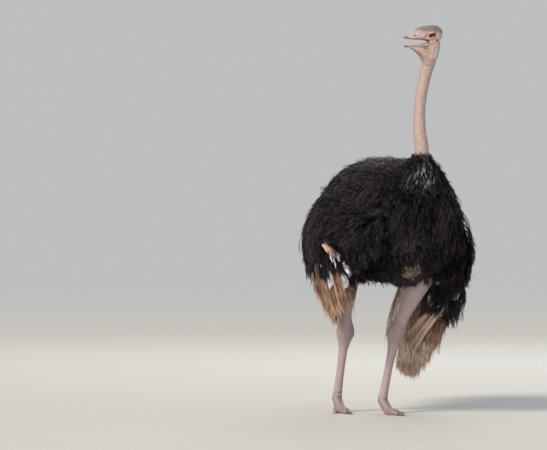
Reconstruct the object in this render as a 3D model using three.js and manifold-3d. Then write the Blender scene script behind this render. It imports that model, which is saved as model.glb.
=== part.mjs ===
// A male ostrich (Struthio camelus) as a still, life-size museum model, in millimetres.
// The bird faces -Y, its own left side is +X and up is +Z. It is caught in mid-stride, with its
// weight on the left foot, the right foot behind, both wings held loose and drooping to cool the
// thighs, and the head turned to its right with the bill open.
// Every flesh piece is a smooth form round a spine curve. Neighbours meet with a 0.3 mm gap.
import * as THREE from "three";
import { mergeVertices } from "three/addons/utils/BufferGeometryUtils.js";
import Module from "manifold-3d";

const wasm = await Module();
wasm.setup();

// ---------------------------------------------------------------- driving dimensions
const GAP = 0.3; // clearance between pieces that touch
const SIDE_X = { left: 1, right: -1 };
const SIDES = ["left", "right"];

// Feet: where each toe joint stands, and how far the foot is turned out, in degrees.
const LEG = {
  left: { ball: [10, 12, 84], hock: [87, -14, 490], knee: [222, -196, 960], turnOut: 8 },
  right: { ball: [-170, 268, 84], hock: [-170, 150, 494], knee: [-236, 48, 960], turnOut: 4 },
};
const FOOT_SPREAD = 28; // angle between the big inner toe and the small outer toe, degrees

// Neck: spine points from inside the breast up into the skull, with half width, front and back.
const NECK = [
  [-4, -500, 1380, 70, 72, 72],
  [-8, -528, 1480, 56, 58, 58],
  [-12, -542, 1572, 43, 45, 45],
  [-18, -541, 1640, 41, 43, 43],
  [-25, -538, 1700, 38, 40, 40],
  [-26, -537, 1800, 35, 37, 37],
  [-18, -541, 1905, 35, 36, 37],
  [1, -550, 2010, 36, 36, 37],
  [22, -560, 2095, 37, 38, 38],
  [35, -566, 2150, 38, 38, 38],
  [40, -568, 2215, 38, 34, 36],
];
const COLLAR_TOP = 1566; // height where the feathered collar ends and the bare neck begins
const NECK_SPLITS = [1740, 1900, 2052]; // heights of the thin cuts along the bare neck

// Head: the point midway between the eyes, and how the head is turned and tilted.
const HEAD_AT = [31, -566, 2262];
const HEAD_TURN = -105; // degrees about the vertical, negative to the bird's right
const EYE = { radius: 24, out: 27.5 };
// The rim of each ear opening, a small oval ring of skin behind and below the eye.
const EAR = { back: 36, drop: 30, out: 37.5, ring: 8, thick: 3.2, cant: 14 };
const NOSTRIL = { radii: [7, 10, 4.2], out: 21, forward: 96, height: 1 };
// The horn of the bill ends on a slant behind the nostrils: [forward, height, length, slant in degrees].
const BILL_CUTS = [[86, -4, 86, 46], [88, -63, 88, -60]];
const HOCK_CUT_RISE = 42; // how far above the hock's middle the drumstick piece begins
const CUT = GAP + 0.05; // width of a thin cut that parts two pieces

// ---------------------------------------------------------------- finishes
const finish = (color, roughness) => new THREE.MeshStandardMaterial({ color, roughness, metalness: 0 });
const SKIN = finish("#a8918c", 0.75);
const LEG_SKIN = finish("#98868a", 0.7);
const HORN = finish("#8f7674", 0.45);
const NAIL = finish("#3c3230", 0.4);
const EYEBALL = finish("#1b1412", 0.08);
const MOUTH = finish("#a4524c", 0.4);
const BLACK_PLUMAGE = finish("#17151a", 0.9);
const COLLAR_PLUMAGE = finish("#3b383a", 0.9);
const WHITE_PLUMES = finish("#b59c86", 0.9);
const TAIL_PLUMES = finish("#8a6a50", 0.9);

// ---------------------------------------------------------------- helpers
const point = ([x, y, z]) => new THREE.Vector3(x, y, z);
const radians = THREE.MathUtils.degToRad;

// A value between the rows of a table, by a Catmull-Rom spline through one of its columns.
function between(rows, column, along) {
  const last = rows.length - 1;
  const place = Math.min(along * last, last - 1e-9);
  const row = Math.floor(place);
  const t = place - row;
  const value = (k) => rows[Math.max(0, Math.min(last, k))][column];
  const [a, b, c, d] = [value(row - 1), value(row), value(row + 1), value(row + 2)];
  return 0.5 * (2 * b + (c - a) * t + (2 * a - 5 * b + 4 * c - d) * t * t + (3 * b - a - 3 * c + d) * t ** 3);
}

// A closed form round a spine. Each row is [x, y, z, half width, half height above, half height below].
// Its width lies along `across`, and "above" is across x the spine's direction.
// `square` is 2 for ellipses and more for fuller corners; `lean` slopes the upper half along `across`;
// `grow` fattens it all round.
function form(rows, { sides = 16, steps = 14, across = [1, 0, 0], square = 2, lean = 0, grow = 0 } = {}) {
  const spine = new THREE.CatmullRomCurve3(rows.map(point), false, "catmullrom", 0.5);
  const geometry = new THREE.CylinderGeometry(1, 1, 1, sides, steps);
  const places = geometry.getAttribute("position");
  const full = (v) => Math.sign(v) * Math.abs(v) ** (2 / square);
  for (let i = 0; i < places.count; i++) {
    const along = places.getY(i) + 0.5;
    const [c, s] = [places.getZ(i), -places.getX(i)];
    const reach = Math.hypot(c, s);
    const tangent = spine.getTangent(along);
    const wide = point(across).addScaledVector(tangent, -point(across).dot(tangent)).normalize();
    const high = new THREE.Vector3().crossVectors(wide, tangent);
    const half = Math.max(0.4, between(rows, 3, along)) + grow;
    const tall = Math.max(0.4, between(rows, s < 0 ? 5 : 4, along)) + grow;
    const at = spine.getPoint(along);
    if (reach > 0.5) {
      const up = full(s / reach) * tall;
      at.addScaledVector(wide, full(c / reach) * half + lean * Math.max(0, up)).addScaledVector(high, up);
    }
    if (grow && (along < 1e-6 || along > 1 - 1e-6)) at.addScaledVector(tangent, along < 0.5 ? -grow : grow);
    places.setXYZ(i, at.x, at.y, at.z);
  }
  return geometry;
}

// A closed geometry as an exact solid.
function solidOf(geometry) {
  const bare = geometry.clone();
  bare.deleteAttribute("normal");
  bare.deleteAttribute("uv");
  const merged = mergeVertices(bare, 1e-3);
  const made = new wasm.Manifold(
    new wasm.Mesh({
      numProp: 3,
      vertProperties: merged.getAttribute("position").array,
      triVerts: new Uint32Array(merged.index.array),
    }),
  );
  if (made.volume() < 0) throw new Error("a form is inside out");
  return made;
}

const solidForm = (rows, options) => solidOf(form(rows, options));

// A box, turned about X by `tilt` degrees, and an ellipsoid: both only cut or dent other pieces.
function block(size, centre, tilt = 0) {
  const geometry = new THREE.BoxGeometry(...size).rotateX(radians(tilt));
  return solidOf(geometry.translate(...centre));
}
function ellipsoid(radii, centre, detail = 16) {
  const geometry = new THREE.SphereGeometry(1, detail, Math.round(detail * 0.625));
  return solidOf(geometry.scale(...radii).translate(...centre));
}

// The largest body of a cut solid.
const largest = (solid) => solid.decompose().reduce((a, b) => (b.volume() > a.volume() ? b : a));

function meshOf(name, solid, material) {
  const made = solid.getMesh();
  const places = new Float32Array(made.numVert * 3);
  for (let i = 0; i < made.numVert; i++) {
    places.set(made.vertProperties.subarray(i * made.numProp, i * made.numProp + 3), i * 3);
  }
  const geometry = new THREE.BufferGeometry();
  geometry.setAttribute("position", new THREE.BufferAttribute(places, 3));
  geometry.setIndex(new THREE.BufferAttribute(made.triVerts, 1));
  geometry.computeVertexNormals();
  const mesh = new THREE.Mesh(geometry, material);
  mesh.name = name;
  return mesh;
}

const bird = new THREE.Group();
const add = (name, solid, material, group = bird) => group.add(meshOf(name, solid, material));

// ---------------------------------------------------------------- trunk
// From the breast to the rump: [x, y, z, half width, height above, height below].
const TRUNK = [
  [0, -662, 1130, 50, 50, 50],
  [0, -640, 1130, 140, 150, 140],
  [0, -570, 1135, 240, 270, 245],
  [0, -450, 1150, 308, 350, 320],
  [0, -290, 1165, 345, 372, 365],
  [0, -90, 1175, 352, 376, 385],
  [0, 110, 1185, 335, 366, 372],
  [0, 280, 1190, 288, 322, 332],
  [0, 410, 1185, 218, 250, 262],
  [0, 490, 1170, 128, 150, 165],
  [0, 520, 1160, 45, 50, 55],
];
const trunkOptions = { sides: 20, steps: 14 };
const trunkForm = (grow) => solidForm(TRUNK, { ...trunkOptions, grow });
const trunk = trunkForm(0);
const trunkGrown = trunkForm(GAP);

// The feathered collar: a cone of short feathers from the breast up to the bare neck.
const COLLAR = [
  [0, -430, 1330, 240, 190, 150],
  [-2, -470, 1400, 205, 165, 150],
  [-5, -505, 1460, 150, 128, 128],
  [-9, -530, 1515, 96, 92, 96],
  [-12, -541, 1550, 66, 68, 68],
  [-12, -542, 1568, 56, 58, 58],
];
const collarForm = (grow) => solidForm(COLLAR, { sides: 16, steps: 7, grow });
const ROOF_HEIGHT = 200;
const collarRoof = block([400, 400, ROOF_HEIGHT], [0, NECK[2][1], COLLAR_TOP + ROOF_HEIGHT / 2]);
const collar = largest(collarForm(0).subtract(trunkGrown).subtract(collarRoof));
const collarGrown = collarForm(GAP);

// ---------------------------------------------------------------- wings
// Each wing is a loose lobe of soft black feathers over the flank, from shoulder to rump.
const WING = {
  left: [
    [222, -540, 1230, 20, 50, 60],
    [260, -488, 1170, 60, 150, 190],
    [308, -380, 1070, 76, 255, 280],
    [348, -230, 1010, 94, 325, 290],
    [354, -60, 1010, 104, 345, 300],
    [336, 110, 1020, 96, 325, 280],
    [292, 270, 1050, 78, 260, 220],
    [232, 390, 1090, 50, 160, 130],
    [198, 440, 1100, 16, 40, 40],
  ],
  right: [
    [-225, -540, 1230, 20, 50, 60],
    [-264, -488, 1180, 62, 150, 150],
    [-315, -370, 1110, 88, 230, 200],
    [-350, -210, 1060, 100, 300, 236],
    [-364, -30, 1060, 102, 310, 255],
    [-352, 130, 1070, 99, 300, 270],
    [-314, 270, 1085, 88, 250, 262],
    [-252, 390, 1085, 50, 160, 140],
    [-214, 445, 1100, 16, 40, 40],
  ],
};
const WING_LEAN = 0.2; // the top of each wing leans in over the back

// The lower lobe that hangs from the left wing's edge, from the flank down to the feather tips.
const WING_DRAPE = [
  [420, -112, 556, 10, 40, 40],
  [422, -106, 580, 30, 84, 84],
  [420, -95, 650, 46, 108, 130],
  [416, -80, 740, 62, 140, 240],
  [400, -70, 850, 66, 170, 240],
  [385, -70, 980, 50, 130, 180],
];
function wingForm(side, grow) {
  const lobe = solidForm(WING[side], { sides: 14, steps: 10, lean: -SIDE_X[side] * WING_LEAN, grow });
  return side === "left" ? lobe.add(solidForm(WING_DRAPE, { sides: 12, steps: 6, grow })) : lobe;
}

// The bare hand of the wing, a stub of pink skin on the lobe's front lower edge.
const HAND = {
  left: [
    [420, -190, 786, 6, 6, 6],
    [414, -200, 774, 13, 14, 14],
    [405, -205, 750, 16, 19, 19],
    [396, -202, 728, 14, 16, 16],
    [390, -196, 714, 6, 6, 6],
  ],
  right: [
    [-474, -150, 1032, 7, 7, 7],
    [-470, -180, 1020, 14, 15, 15],
    [-462, -216, 996, 18, 21, 21],
    [-450, -250, 972, 17, 19, 19],
    [-440, -268, 956, 6, 7, 7],
  ],
};
const handForm = (side, grow) => solidForm(HAND[side], { sides: 8, steps: 5, grow });

// The long white plumes of the wing hand, stained tan, as one thin curved fan.
// They trail back and in from the hand, so each fan's width lies along its own slant.
const PLUMES = {
  left: {
    across: [-0.65, 0.76, 0],
    rows: [
      [432, -120, 745, 50, 10, 10],
      [412, -20, 690, 95, 13, 13],
      [368, 80, 610, 128, 13, 13],
      [338, 160, 500, 122, 12, 12],
      [318, 210, 400, 108, 11, 11],
      [306, 240, 310, 84, 9, 9],
      [300, 252, 262, 44, 6, 6],
    ],
  },
  right: {
    across: [0.41, -0.91, 0],
    rows: [
      [-440, -110, 900, 55, 10, 10],
      [-408, -50, 840, 88, 12, 12],
      [-364, 0, 760, 84, 12, 12],
      [-324, 35, 680, 58, 11, 11],
      [-302, 55, 625, 34, 8, 8],
      [-294, 62, 588, 13, 4, 4],
    ],
  },
};
const plumeForm = (side, grow) =>
  solidForm(PLUMES[side].rows, { sides: 10, steps: 8, across: PLUMES[side].across, square: 3, grow });

// The tail: a drooping bunch of plumes behind the rump.
const TAIL = [
  [0, 395, 1400, 110, 50, 70],
  [0, 500, 1350, 150, 74, 90],
  [0, 590, 1230, 178, 84, 90],
  [0, 622, 1070, 182, 74, 76],
  [0, 610, 920, 156, 56, 56],
  [0, 590, 812, 96, 30, 30],
];
const tail = largest(solidForm(TAIL, { sides: 14, steps: 9, square: 2.4 }).subtract(trunkGrown));

// ---------------------------------------------------------------- legs
const mixed = (a, b, t) => a.map((v, k) => v + (b[k] - v) * t);

// The feathered-bare drumstick, from the hock up into the flank, and the scaled shank below it.
function drumstickRows({ hock, knee }) {
  const widths = [
    [-0.06, 40, 38, 42],
    [0, 46, 44, 50],
    [0.07, 41, 42, 46],
    [0.2, 38, 44, 46],
    [0.38, 50, 56, 58],
    [0.58, 68, 80, 80],
    [0.8, 86, 108, 104],
    [1, 92, 120, 112],
  ];
  return widths.map(([t, ...halves]) => [...mixed(hock, knee, t), ...halves]);
}
function shankRows({ ball, hock }) {
  const widths = [
    [-0.05, 22, 22, 22],
    [0, 32, 31, 31],
    [0.1, 28, 28, 29],
    [0.25, 25, 25, 28],
    [0.55, 24, 26, 31],
    [0.8, 29, 31, 38],
    [0.94, 41, 41, 47],
    [1.03, 42, 40, 46],
  ];
  return widths.map(([t, ...halves]) => [...mixed(ball, hock, t), ...halves]);
}
const drumstickForm = (side, grow) => solidForm(drumstickRows(LEG[side]), { sides: 12, steps: 9, grow });
const shankForm = (side, grow) => solidForm(shankRows(LEG[side]), { sides: 10, steps: 9, grow });

// Toes: rows run from the tip back to the toe joint, [forward, height, half width, above, below].
const BIG_TOE = [
  [174, 12, 15, 9, 15],
  [160, 16, 23, 14, 22],
  [128, 18, 30, 19, 25],
  [92, 20, 28, 20, 27],
  [60, 30, 29, 24, 35],
  [30, 55, 29, 26, 32],
  [2, 84, 30, 28, 30],
];
const SMALL_TOE = [
  [112, 9, 8, 6, 11],
  [100, 13, 14, 10, 17],
  [72, 15, 17, 13, 20],
  [44, 26, 17, 15, 27],
  [20, 52, 17, 17, 22],
  [0, 78, 18, 18, 20],
];
const TOE_NAIL = [
  [232, 7, 3, 3, 4],
  [218, 10, 8, 6, 7],
  [194, 15, 14, 9, 11],
  [166, 18, 16, 10, 12],
  [150, 20, 14, 9, 10],
];
const GROUND_DEPTH = 400;
const ground = block([3000, 3000, GROUND_DEPTH], [0, 0, -GROUND_DEPTH / 2]);

function toeForm(rows, side, turn, grow, detail = 9) {
  const [x, y] = LEG[side].ball;
  const placed = rows.map(([forward, height, ...halves]) => [0, -forward, height, ...halves]);
  const geometry = form(placed, { sides: detail, steps: detail - 1, square: 2.3, grow });
  return solidOf(geometry.rotateZ(radians(turn)).translate(x, y, 0)).subtract(ground);
}

for (const side of SIDES) {
  const sign = SIDE_X[side];
  const leg = LEG[side];
  const drumstick = drumstickForm(side, 0);
  const shank = shankForm(side, 0);
  const cutHeight = leg.hock[2] + HOCK_CUT_RISE;
  const [hockX, hockY] = leg.hock;
  const below = block([600, 600, 2 * cutHeight], [hockX, hockY, 0]);
  const belowGrown = block([600, 600, 2 * (cutHeight + GAP)], [hockX, hockY, 0]);
  const upper = largest(drumstick.subtract(belowGrown).subtract(trunkGrown));
  const lower = shank.add(drumstick.intersect(below));
  add(`drumstick_${side}`, upper, LEG_SKIN);
  add(`shank_${side}`, lower, LEG_SKIN);

  const turn = sign * leg.turnOut;
  const outer = turn + sign * FOOT_SPREAD;
  const shankGrown = shankForm(side, GAP);
  const bigToe = toeForm(BIG_TOE, side, turn, 0).subtract(shankGrown);
  const bigToeGrown = toeForm(BIG_TOE, side, turn, GAP);
  add(`toe_inner_${side}`, largest(bigToe), LEG_SKIN);
  const nail = toeForm(TOE_NAIL, side, turn, 0, 7).subtract(bigToeGrown);
  add(`nail_${side}`, largest(nail), NAIL);
  const smallToe = toeForm(SMALL_TOE, side, outer, 0).subtract(shankGrown).subtract(bigToeGrown);
  add(`toe_outer_${side}`, largest(smallToe), LEG_SKIN);
}

// ---------------------------------------------------------------- wings, in place
for (const side of SIDES) {
  const hand = handForm(side, 0);
  const wing = wingForm(side, 0)
    .subtract(trunkGrown)
    .subtract(collarGrown)
    .subtract(handForm(side, GAP))
    .subtract(drumstickForm(side, GAP));
  const plumes = plumeForm(side, 0)
    .subtract(trunkGrown)
    .subtract(wingForm(side, GAP))
    .subtract(handForm(side, GAP))
    .subtract(drumstickForm(side, GAP));
  add(`wing_${side}`, largest(wing), BLACK_PLUMAGE);
  add(`wing_hand_${side}`, hand, SKIN);
  add(`wing_plumes_${side}`, largest(plumes), WHITE_PLUMES);
}
add("trunk", trunk, BLACK_PLUMAGE);
add("neck_collar", collar, COLLAR_PLUMAGE);
add("tail", tail, TAIL_PLUMES);

// ---------------------------------------------------------------- head, in its own frame
// The head is modelled round the point midway between the eyes, facing -Y like the body.
// Rows run from the bill tip back: [forward, height, half width, above, below].
const SKULL = [
  [158, -12, 6, 4, 4],
  [151, -13, 13, 8, 5],
  [132, -15, 20, 15, 7],
  [110, -17, 24, 23, 7],
  [94, -17, 28, 36, 8],
  [78, -14, 33, 50, 12],
  [58, -8, 39, 56, 22],
  [34, 2, 44, 50, 37],
  [8, 8, 46.5, 48, 50],
  [-18, 8, 45, 50, 58],
  [-42, 5, 38, 44, 55],
  [-58, 0, 26, 28, 38],
  [-65, -3, 9, 10, 14],
];
const MANDIBLE = [
  [158, -65, 6, 3, 3],
  [150, -64, 13, 5, 5],
  [128, -62, 19, 5, 9],
  [105, -59, 24, 5, 13],
  [80, -56, 29, 5, 17],
  [55, -52, 34, 5, 21],
  [30, -47, 38, 5, 26],
  [10, -43, 40, 7, 30],
  [-12, -42, 39, 12, 34],
  [-38, -44, 33, 14, 32],
];
const THROAT = [
  [122, -71, 12, 5, 5],
  [98, -76, 23, 13, 15],
  [72, -86, 30, 28, 22],
  [47, -105, 35, 40, 26],
  [27, -135, 38, 40, 28],
  [14, -172, 38, 42, 36],
];
const headRows = (rows) => rows.map(([forward, height, ...halves]) => [0, -forward, height, ...halves]);
const headForm = (rows, options) => solidForm(headRows(rows), options);

const head = new THREE.Group();
head.position.set(...HEAD_AT);
head.rotation.z = radians(HEAD_TURN);
head.updateMatrixWorld();
const intoHead = head.matrixWorld.clone().invert();
const neckGeometry = form(NECK, { sides: 14, steps: 18 });
const neckInHead = solidOf(neckGeometry.clone().applyMatrix4(intoHead));

// One flesh, then parted by thin cuts: the neck at its splits, and the two halves of the bill.
const nape = headForm(
  [
    [-10, 20, 34, 24, 24],
    [-20, -30, 38, 36, 36],
    [-14, -80, 38, 38, 38],
    [-2, -130, 37, 38, 38],
  ],
  { sides: 10, steps: 4 },
);
let flesh = headForm(SKULL, { sides: 16, steps: 15, square: 2.15 })
  .add(headForm(MANDIBLE, { sides: 10, steps: 9, square: 2.2 }))
  .add(headForm(THROAT, { sides: 10, steps: 6 }))
  .add(nape)
  .add(neckInHead);

// The hollow palate and the floor of the mouth, and the nostrils.
const PALATE = [
  [146, -20, 7, 3, 3],
  [120, -22, 15, 7, 5],
  [80, -26, 23, 9, 6],
  [40, -35, 28, 8, 5],
  [22, -41, 20, 2, 2],
];
const MOUTH_FLOOR = [
  [150, -59, 7, 3, 3],
  [120, -56, 14, 4, 7],
  [80, -50, 21, 4, 9],
  [40, -44, 27, 4, 9],
  [22, -40, 20, 2, 3],
];
const palate = headForm(PALATE, { sides: 8, steps: 5 });
const floor = headForm(MOUTH_FLOOR, { sides: 8, steps: 5 });
flesh = flesh.subtract(palate).subtract(floor);
for (const side of SIDES) {
  const sign = SIDE_X[side];
  flesh = flesh.subtract(ellipsoid(NOSTRIL.radii, [sign * NOSTRIL.out, -NOSTRIL.forward, NOSTRIL.height], 8));
  flesh = flesh.subtract(ellipsoid(Array(3).fill(EYE.radius + GAP), [sign * EYE.out, 0, 0], 14));
}

const earForm = (sign, grow) => {
  const ring = new THREE.TorusGeometry(EAR.ring, EAR.thick + grow, 6, 12).scale(1.25, 0.8, 1);
  return solidOf(ring.rotateY(radians(90 + sign * EAR.cant)).translate(sign * EAR.out, EAR.back, -EAR.drop));
};
for (const side of SIDES) {
  const sign = SIDE_X[side];
  flesh = flesh.subtract(earForm(sign, GAP));
  flesh = flesh.subtract(ellipsoid([9, 4.6, 8], [sign * (EAR.out + 1), EAR.back, -EAR.drop], 8));
}

// Thin cuts through the bill and the neck, and all that lies below the collar's top.
const billCuts = BILL_CUTS.map(([forward, height, length, slant]) =>
  block([120, CUT, length], [0, -forward, height], slant),
);
const neckCuts = NECK_SPLITS.map((height) => block([300, 300, CUT], [40, 40, height - HEAD_AT[2]]));
const SOCK_HEIGHT = 700;
const neckSock = block([900, 900, SOCK_HEIGHT], [0, 0, COLLAR_TOP + GAP - SOCK_HEIGHT / 2 - HEAD_AT[2]]);
for (const cut of [...billCuts, ...neckCuts, neckSock]) flesh = flesh.subtract(cut);

const pieces = flesh.decompose().filter((body) => body.volume() > 20);
const inHead = (body) => body.boundingBox();
const necks = pieces.filter((body) => inHead(body).max[2] < -150).sort((a, b) => inHead(a).max[2] - inHead(b).max[2]);
const faces = pieces.filter((body) => inHead(body).max[2] >= -150).sort((a, b) => b.volume() - a.volume());
const [skullPiece, ...billPieces] = faces;
billPieces.sort((a, b) => inHead(b).max[2] - inHead(a).max[2]);
["neck_lower", "neck_middle", "neck_upper"].forEach((name, k) => add(name, necks[k], SKIN, head));
add("head", skullPiece, SKIN, head);
add("bill_upper", billPieces[0], HORN, head);
add("bill_lower", billPieces[1], HORN, head);

for (const side of SIDES) {
  const sign = SIDE_X[side];
  const ball = ellipsoid(Array(3).fill(EYE.radius), [sign * EYE.out, 0, 0], 14);
  add(`eye_${side}`, ball, EYEBALL, head);
  add(`ear_${side}`, earForm(sign, 0), SKIN, head);
}
const tongue = headForm(
  [[86, -53.5, 5, 1.5, 1.5], [78, -53, 10, 2.5, 2.5], [60, -50, 12, 3, 3], [46, -47.5, 9, 2.5, 2.5]],
  { sides: 8, steps: 5 },
);
add("tongue", tongue, MOUTH, head);
bird.add(head);

// ---------------------------------------------------------------- origin on the floor, mid box
bird.updateMatrixWorld(true);
const box = new THREE.Box3().setFromObject(bird, true);
const centre = box.getCenter(new THREE.Vector3());
bird.position.set(-centre.x, -centre.y, -box.min.z);

export default bird;
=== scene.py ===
# %% [markdown]
# # A male ostrich, life size, in mid-stride
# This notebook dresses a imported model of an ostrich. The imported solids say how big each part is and
# where it stands. Here they become one smooth skin, a horny bill, wet eyes, scaled legs and a coat of
# nearly twenty thousand loose plumes. Lengths are metres: +Z is up and the bird faces -Y.

# %% The fixed frame
import math

import bpy
import numpy as np
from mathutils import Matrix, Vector
from mathutils.bvhtree import BVHTree


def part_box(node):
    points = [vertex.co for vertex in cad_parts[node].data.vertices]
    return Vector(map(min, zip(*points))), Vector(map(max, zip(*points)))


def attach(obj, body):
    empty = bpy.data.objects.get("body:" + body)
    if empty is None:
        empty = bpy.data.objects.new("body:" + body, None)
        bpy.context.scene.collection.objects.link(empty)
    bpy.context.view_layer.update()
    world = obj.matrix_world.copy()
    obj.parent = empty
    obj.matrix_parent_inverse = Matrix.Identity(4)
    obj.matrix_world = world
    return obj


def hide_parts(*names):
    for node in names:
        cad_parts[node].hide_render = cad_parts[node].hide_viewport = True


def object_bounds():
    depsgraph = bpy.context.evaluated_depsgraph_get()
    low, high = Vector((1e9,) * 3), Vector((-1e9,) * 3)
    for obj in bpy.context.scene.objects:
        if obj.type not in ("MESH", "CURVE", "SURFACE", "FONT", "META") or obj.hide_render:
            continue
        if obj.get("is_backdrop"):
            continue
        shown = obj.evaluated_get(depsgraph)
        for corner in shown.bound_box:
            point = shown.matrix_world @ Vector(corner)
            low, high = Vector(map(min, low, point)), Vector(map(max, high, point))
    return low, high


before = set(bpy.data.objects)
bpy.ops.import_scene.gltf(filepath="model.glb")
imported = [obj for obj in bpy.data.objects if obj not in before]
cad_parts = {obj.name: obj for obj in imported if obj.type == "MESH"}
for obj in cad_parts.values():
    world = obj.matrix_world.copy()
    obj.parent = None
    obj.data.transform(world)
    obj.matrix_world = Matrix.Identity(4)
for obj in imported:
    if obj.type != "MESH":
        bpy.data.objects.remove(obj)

MM = 0.001
cad_low, cad_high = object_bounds()
chance = np.random.default_rng(20)
print("packed box", [round(v, 3) for v in (cad_high - cad_low)])

# %% [markdown]
# ## The camera
# The bird is seen from far off, in front of it and to its right, with a long lens at about chest
# height. A long lens keeps the legs and neck straight. The camera looks at the middle of the frame,
# so it needs no shift.

# %% Camera
FRAME_PIXELS = (547, 450)
SENSOR = 36.0
VIEW_TURN = math.radians(27)  # how far round to the bird's right the camera stands
VIEW_TILT = math.radians(4)  # how far it looks down
VIEW_DISTANCE = 20.0
PIXEL = 6.05 * MM  # what one pixel spans at the bird
FEET_PIXEL = (382.0, 414.0)  # the pixel that the spot between the feet falls on

# The model's origin is under the middle of its box; the spot that the camera was placed from is here.
stance = Vector((-0.0006, -0.016, 0.0))
away = Vector((math.sin(VIEW_TURN), math.cos(VIEW_TURN), 0.0))
right = Vector((math.cos(VIEW_TURN), -math.sin(VIEW_TURN), 0.0))
up = Vector((0.0, 0.0, math.cos(VIEW_TILT))) + away * math.sin(VIEW_TILT)
across = (FRAME_PIXELS[0] / 2 - FEET_PIXEL[0]) * PIXEL
rise = (FEET_PIXEL[1] - FRAME_PIXELS[1] / 2) * PIXEL
target = stance + right * across + up * rise
seat = stance - away * (VIEW_DISTANCE * math.cos(VIEW_TILT))
seat.z = VIEW_DISTANCE * math.sin(VIEW_TILT)

bpy.ops.object.select_all(action="DESELECT")
bpy.ops.object.camera_add(location=seat, rotation=(target - seat).to_track_quat("-Z", "Y").to_euler())
camera = bpy.context.object
camera.name = "long_lens"
camera.data.sensor_width = SENSOR
camera.data.lens = SENSOR * VIEW_DISTANCE / (PIXEL * FRAME_PIXELS[0])
camera.data.clip_end = 200.0
bpy.context.scene.camera = camera
print("camera", [round(v, 2) for v in seat], "lens", round(camera.data.lens, 1))

# %% [markdown]
# ## The floor and the light
# A plain pale floor and a wide, soft light are enough for a museum model. The key light stands high
# on the left, where the sun would be, and a pale sky fills the shadows.

# %% Floor and light
def linear(hex_code, alpha=1.0):
    """An sRGB hex colour as the linear numbers that shaders use."""
    parts = [int(hex_code.lstrip("#")[k : k + 2], 16) / 255 for k in (0, 2, 4)]
    return tuple(p / 12.92 if p <= 0.04045 else ((p + 0.055) / 1.055) ** 2.4 for p in parts) + (alpha,)


def node(tree, kind, links=None, **settings):
    """Adds a shader node, with its settings, and gives its inputs a value or a link."""
    made = tree.nodes.new(kind)
    for name, value in settings.items():
        setattr(made, name, value)
    for name, value in (links or {}).items():
        if isinstance(value, bpy.types.NodeSocket):
            tree.links.new(value, made.inputs[name])
        else:
            made.inputs[name].default_value = value
    return made


def new_material(name):
    """An empty node material: returns it, its node tree and its surface shader."""
    made = bpy.data.materials.new(name)
    made.use_nodes = True
    return made, made.node_tree, made.node_tree.nodes["Principled BSDF"]


SKY, SKY_STRENGTH = "#eaebec", 0.62
CHEST = Vector((0, 0, 1.1))  # what the lamps point at


def area_light(name, place, size, watts, tint):
    bpy.ops.object.light_add(type="AREA", location=place)
    lamp = bpy.context.object
    lamp.name = name
    lamp.rotation_euler = (CHEST - Vector(place)).to_track_quat("-Z", "Y").to_euler()
    lamp.data.shape = "DISK"
    lamp.data.size = size
    lamp.data.energy = watts
    lamp.data.color = linear(tint)[:3]
    return lamp


bpy.ops.mesh.primitive_plane_add(size=400, location=(0, 0, 0))
floor = bpy.context.object
floor.name = "floor"
floor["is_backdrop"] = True
floor_finish, tree, shader = new_material("matt studio paper")
paper = node(tree, "ShaderNodeTexNoise", {"Scale": 1.5, "Detail": 3.0})
tone = node(tree, "ShaderNodeMix", {
    "Factor": paper.outputs["Fac"], "A": linear("#c1c1be"), "B": linear("#c7c7c4")}, data_type="RGBA")
tree.links.new(tone.outputs["Result"], shader.inputs["Base Color"])
shader.inputs["Roughness"].default_value = 1.0
shader.inputs["Specular IOR Level"].default_value = 0.0
# Far from the bird the paper fades into the colour of the sky, so no horizon line shows.
place = node(tree, "ShaderNodeTexCoord")
spread = node(tree, "ShaderNodeVectorMath", {0: place.outputs["Object"]}, operation="LENGTH")
far = node(tree, "ShaderNodeMapRange", {"Value": spread.outputs["Value"], "From Min": 5.0, "From Max": 24.0},
    interpolation_type="SMOOTHSTEP")
glow = node(tree, "ShaderNodeEmission", {"Color": linear(SKY), "Strength": SKY_STRENGTH})
faded = node(tree, "ShaderNodeMixShader", {
    0: far.outputs["Result"], 1: shader.outputs["BSDF"], 2: glow.outputs["Emission"]})
tree.links.new(faded.outputs["Shader"], tree.nodes["Material Output"].inputs["Surface"])
floor.data.materials.append(floor_finish)

# Each lamp's place is given to the left or right, towards or away from the camera, and up. The low
# lamp's beam is narrow, so that it lifts the shade under the wings and leaves the floor alone.
bpy.ops.object.light_add(type="SUN", location=stance - right * 3.8 - away * 4.4 + Vector((0, 0, 5.6)))
key = bpy.context.object
key.name = "key"
key.rotation_euler = (CHEST - key.location).to_track_quat("-Z", "Y").to_euler()
key.data.angle = math.radians(14)
key.data.energy = 2.9
key.data.color = linear("#fff4e6")[:3]
fill = area_light("fill", stance + right * 6.0 - away * 6.5 + Vector((0, 0, 2.4)), 5.0, 90, "#eef2ff")
low = area_light("low", stance - right * 2.8 - away * 5.5 + Vector((0, 0, 1.4)), 2.8, 13, "#fff8f0")
low.data.spread = math.radians(64)
rim = area_light("rim", stance + right * 1.0 + away * 7.0 + Vector((0, 0, 6.0)), 4.0, 190, "#f2f6ff")
world = bpy.data.worlds.new("sky")
bpy.context.scene.world = world
world.use_nodes = True
world.node_tree.nodes["Background"].inputs["Color"].default_value = linear(SKY)
world.node_tree.nodes["Background"].inputs["Strength"].default_value = SKY_STRENGTH
bpy.context.scene.view_settings.view_transform = "Standard"
print("lights", key.name, fill.name, low.name, rim.name)

# %% [markdown]
# ## One skin
# Skin has no seams, so one surface takes the place of all the flesh solids. Their copies are joined
# and remeshed with cubes of a few millimetres, which melts the joints between them. Smoothing rounds
# off the facets. Under the plumage the skin sinks by the coat's depth, and on the bare neck, head
# and legs it stays where the solids are.

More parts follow.
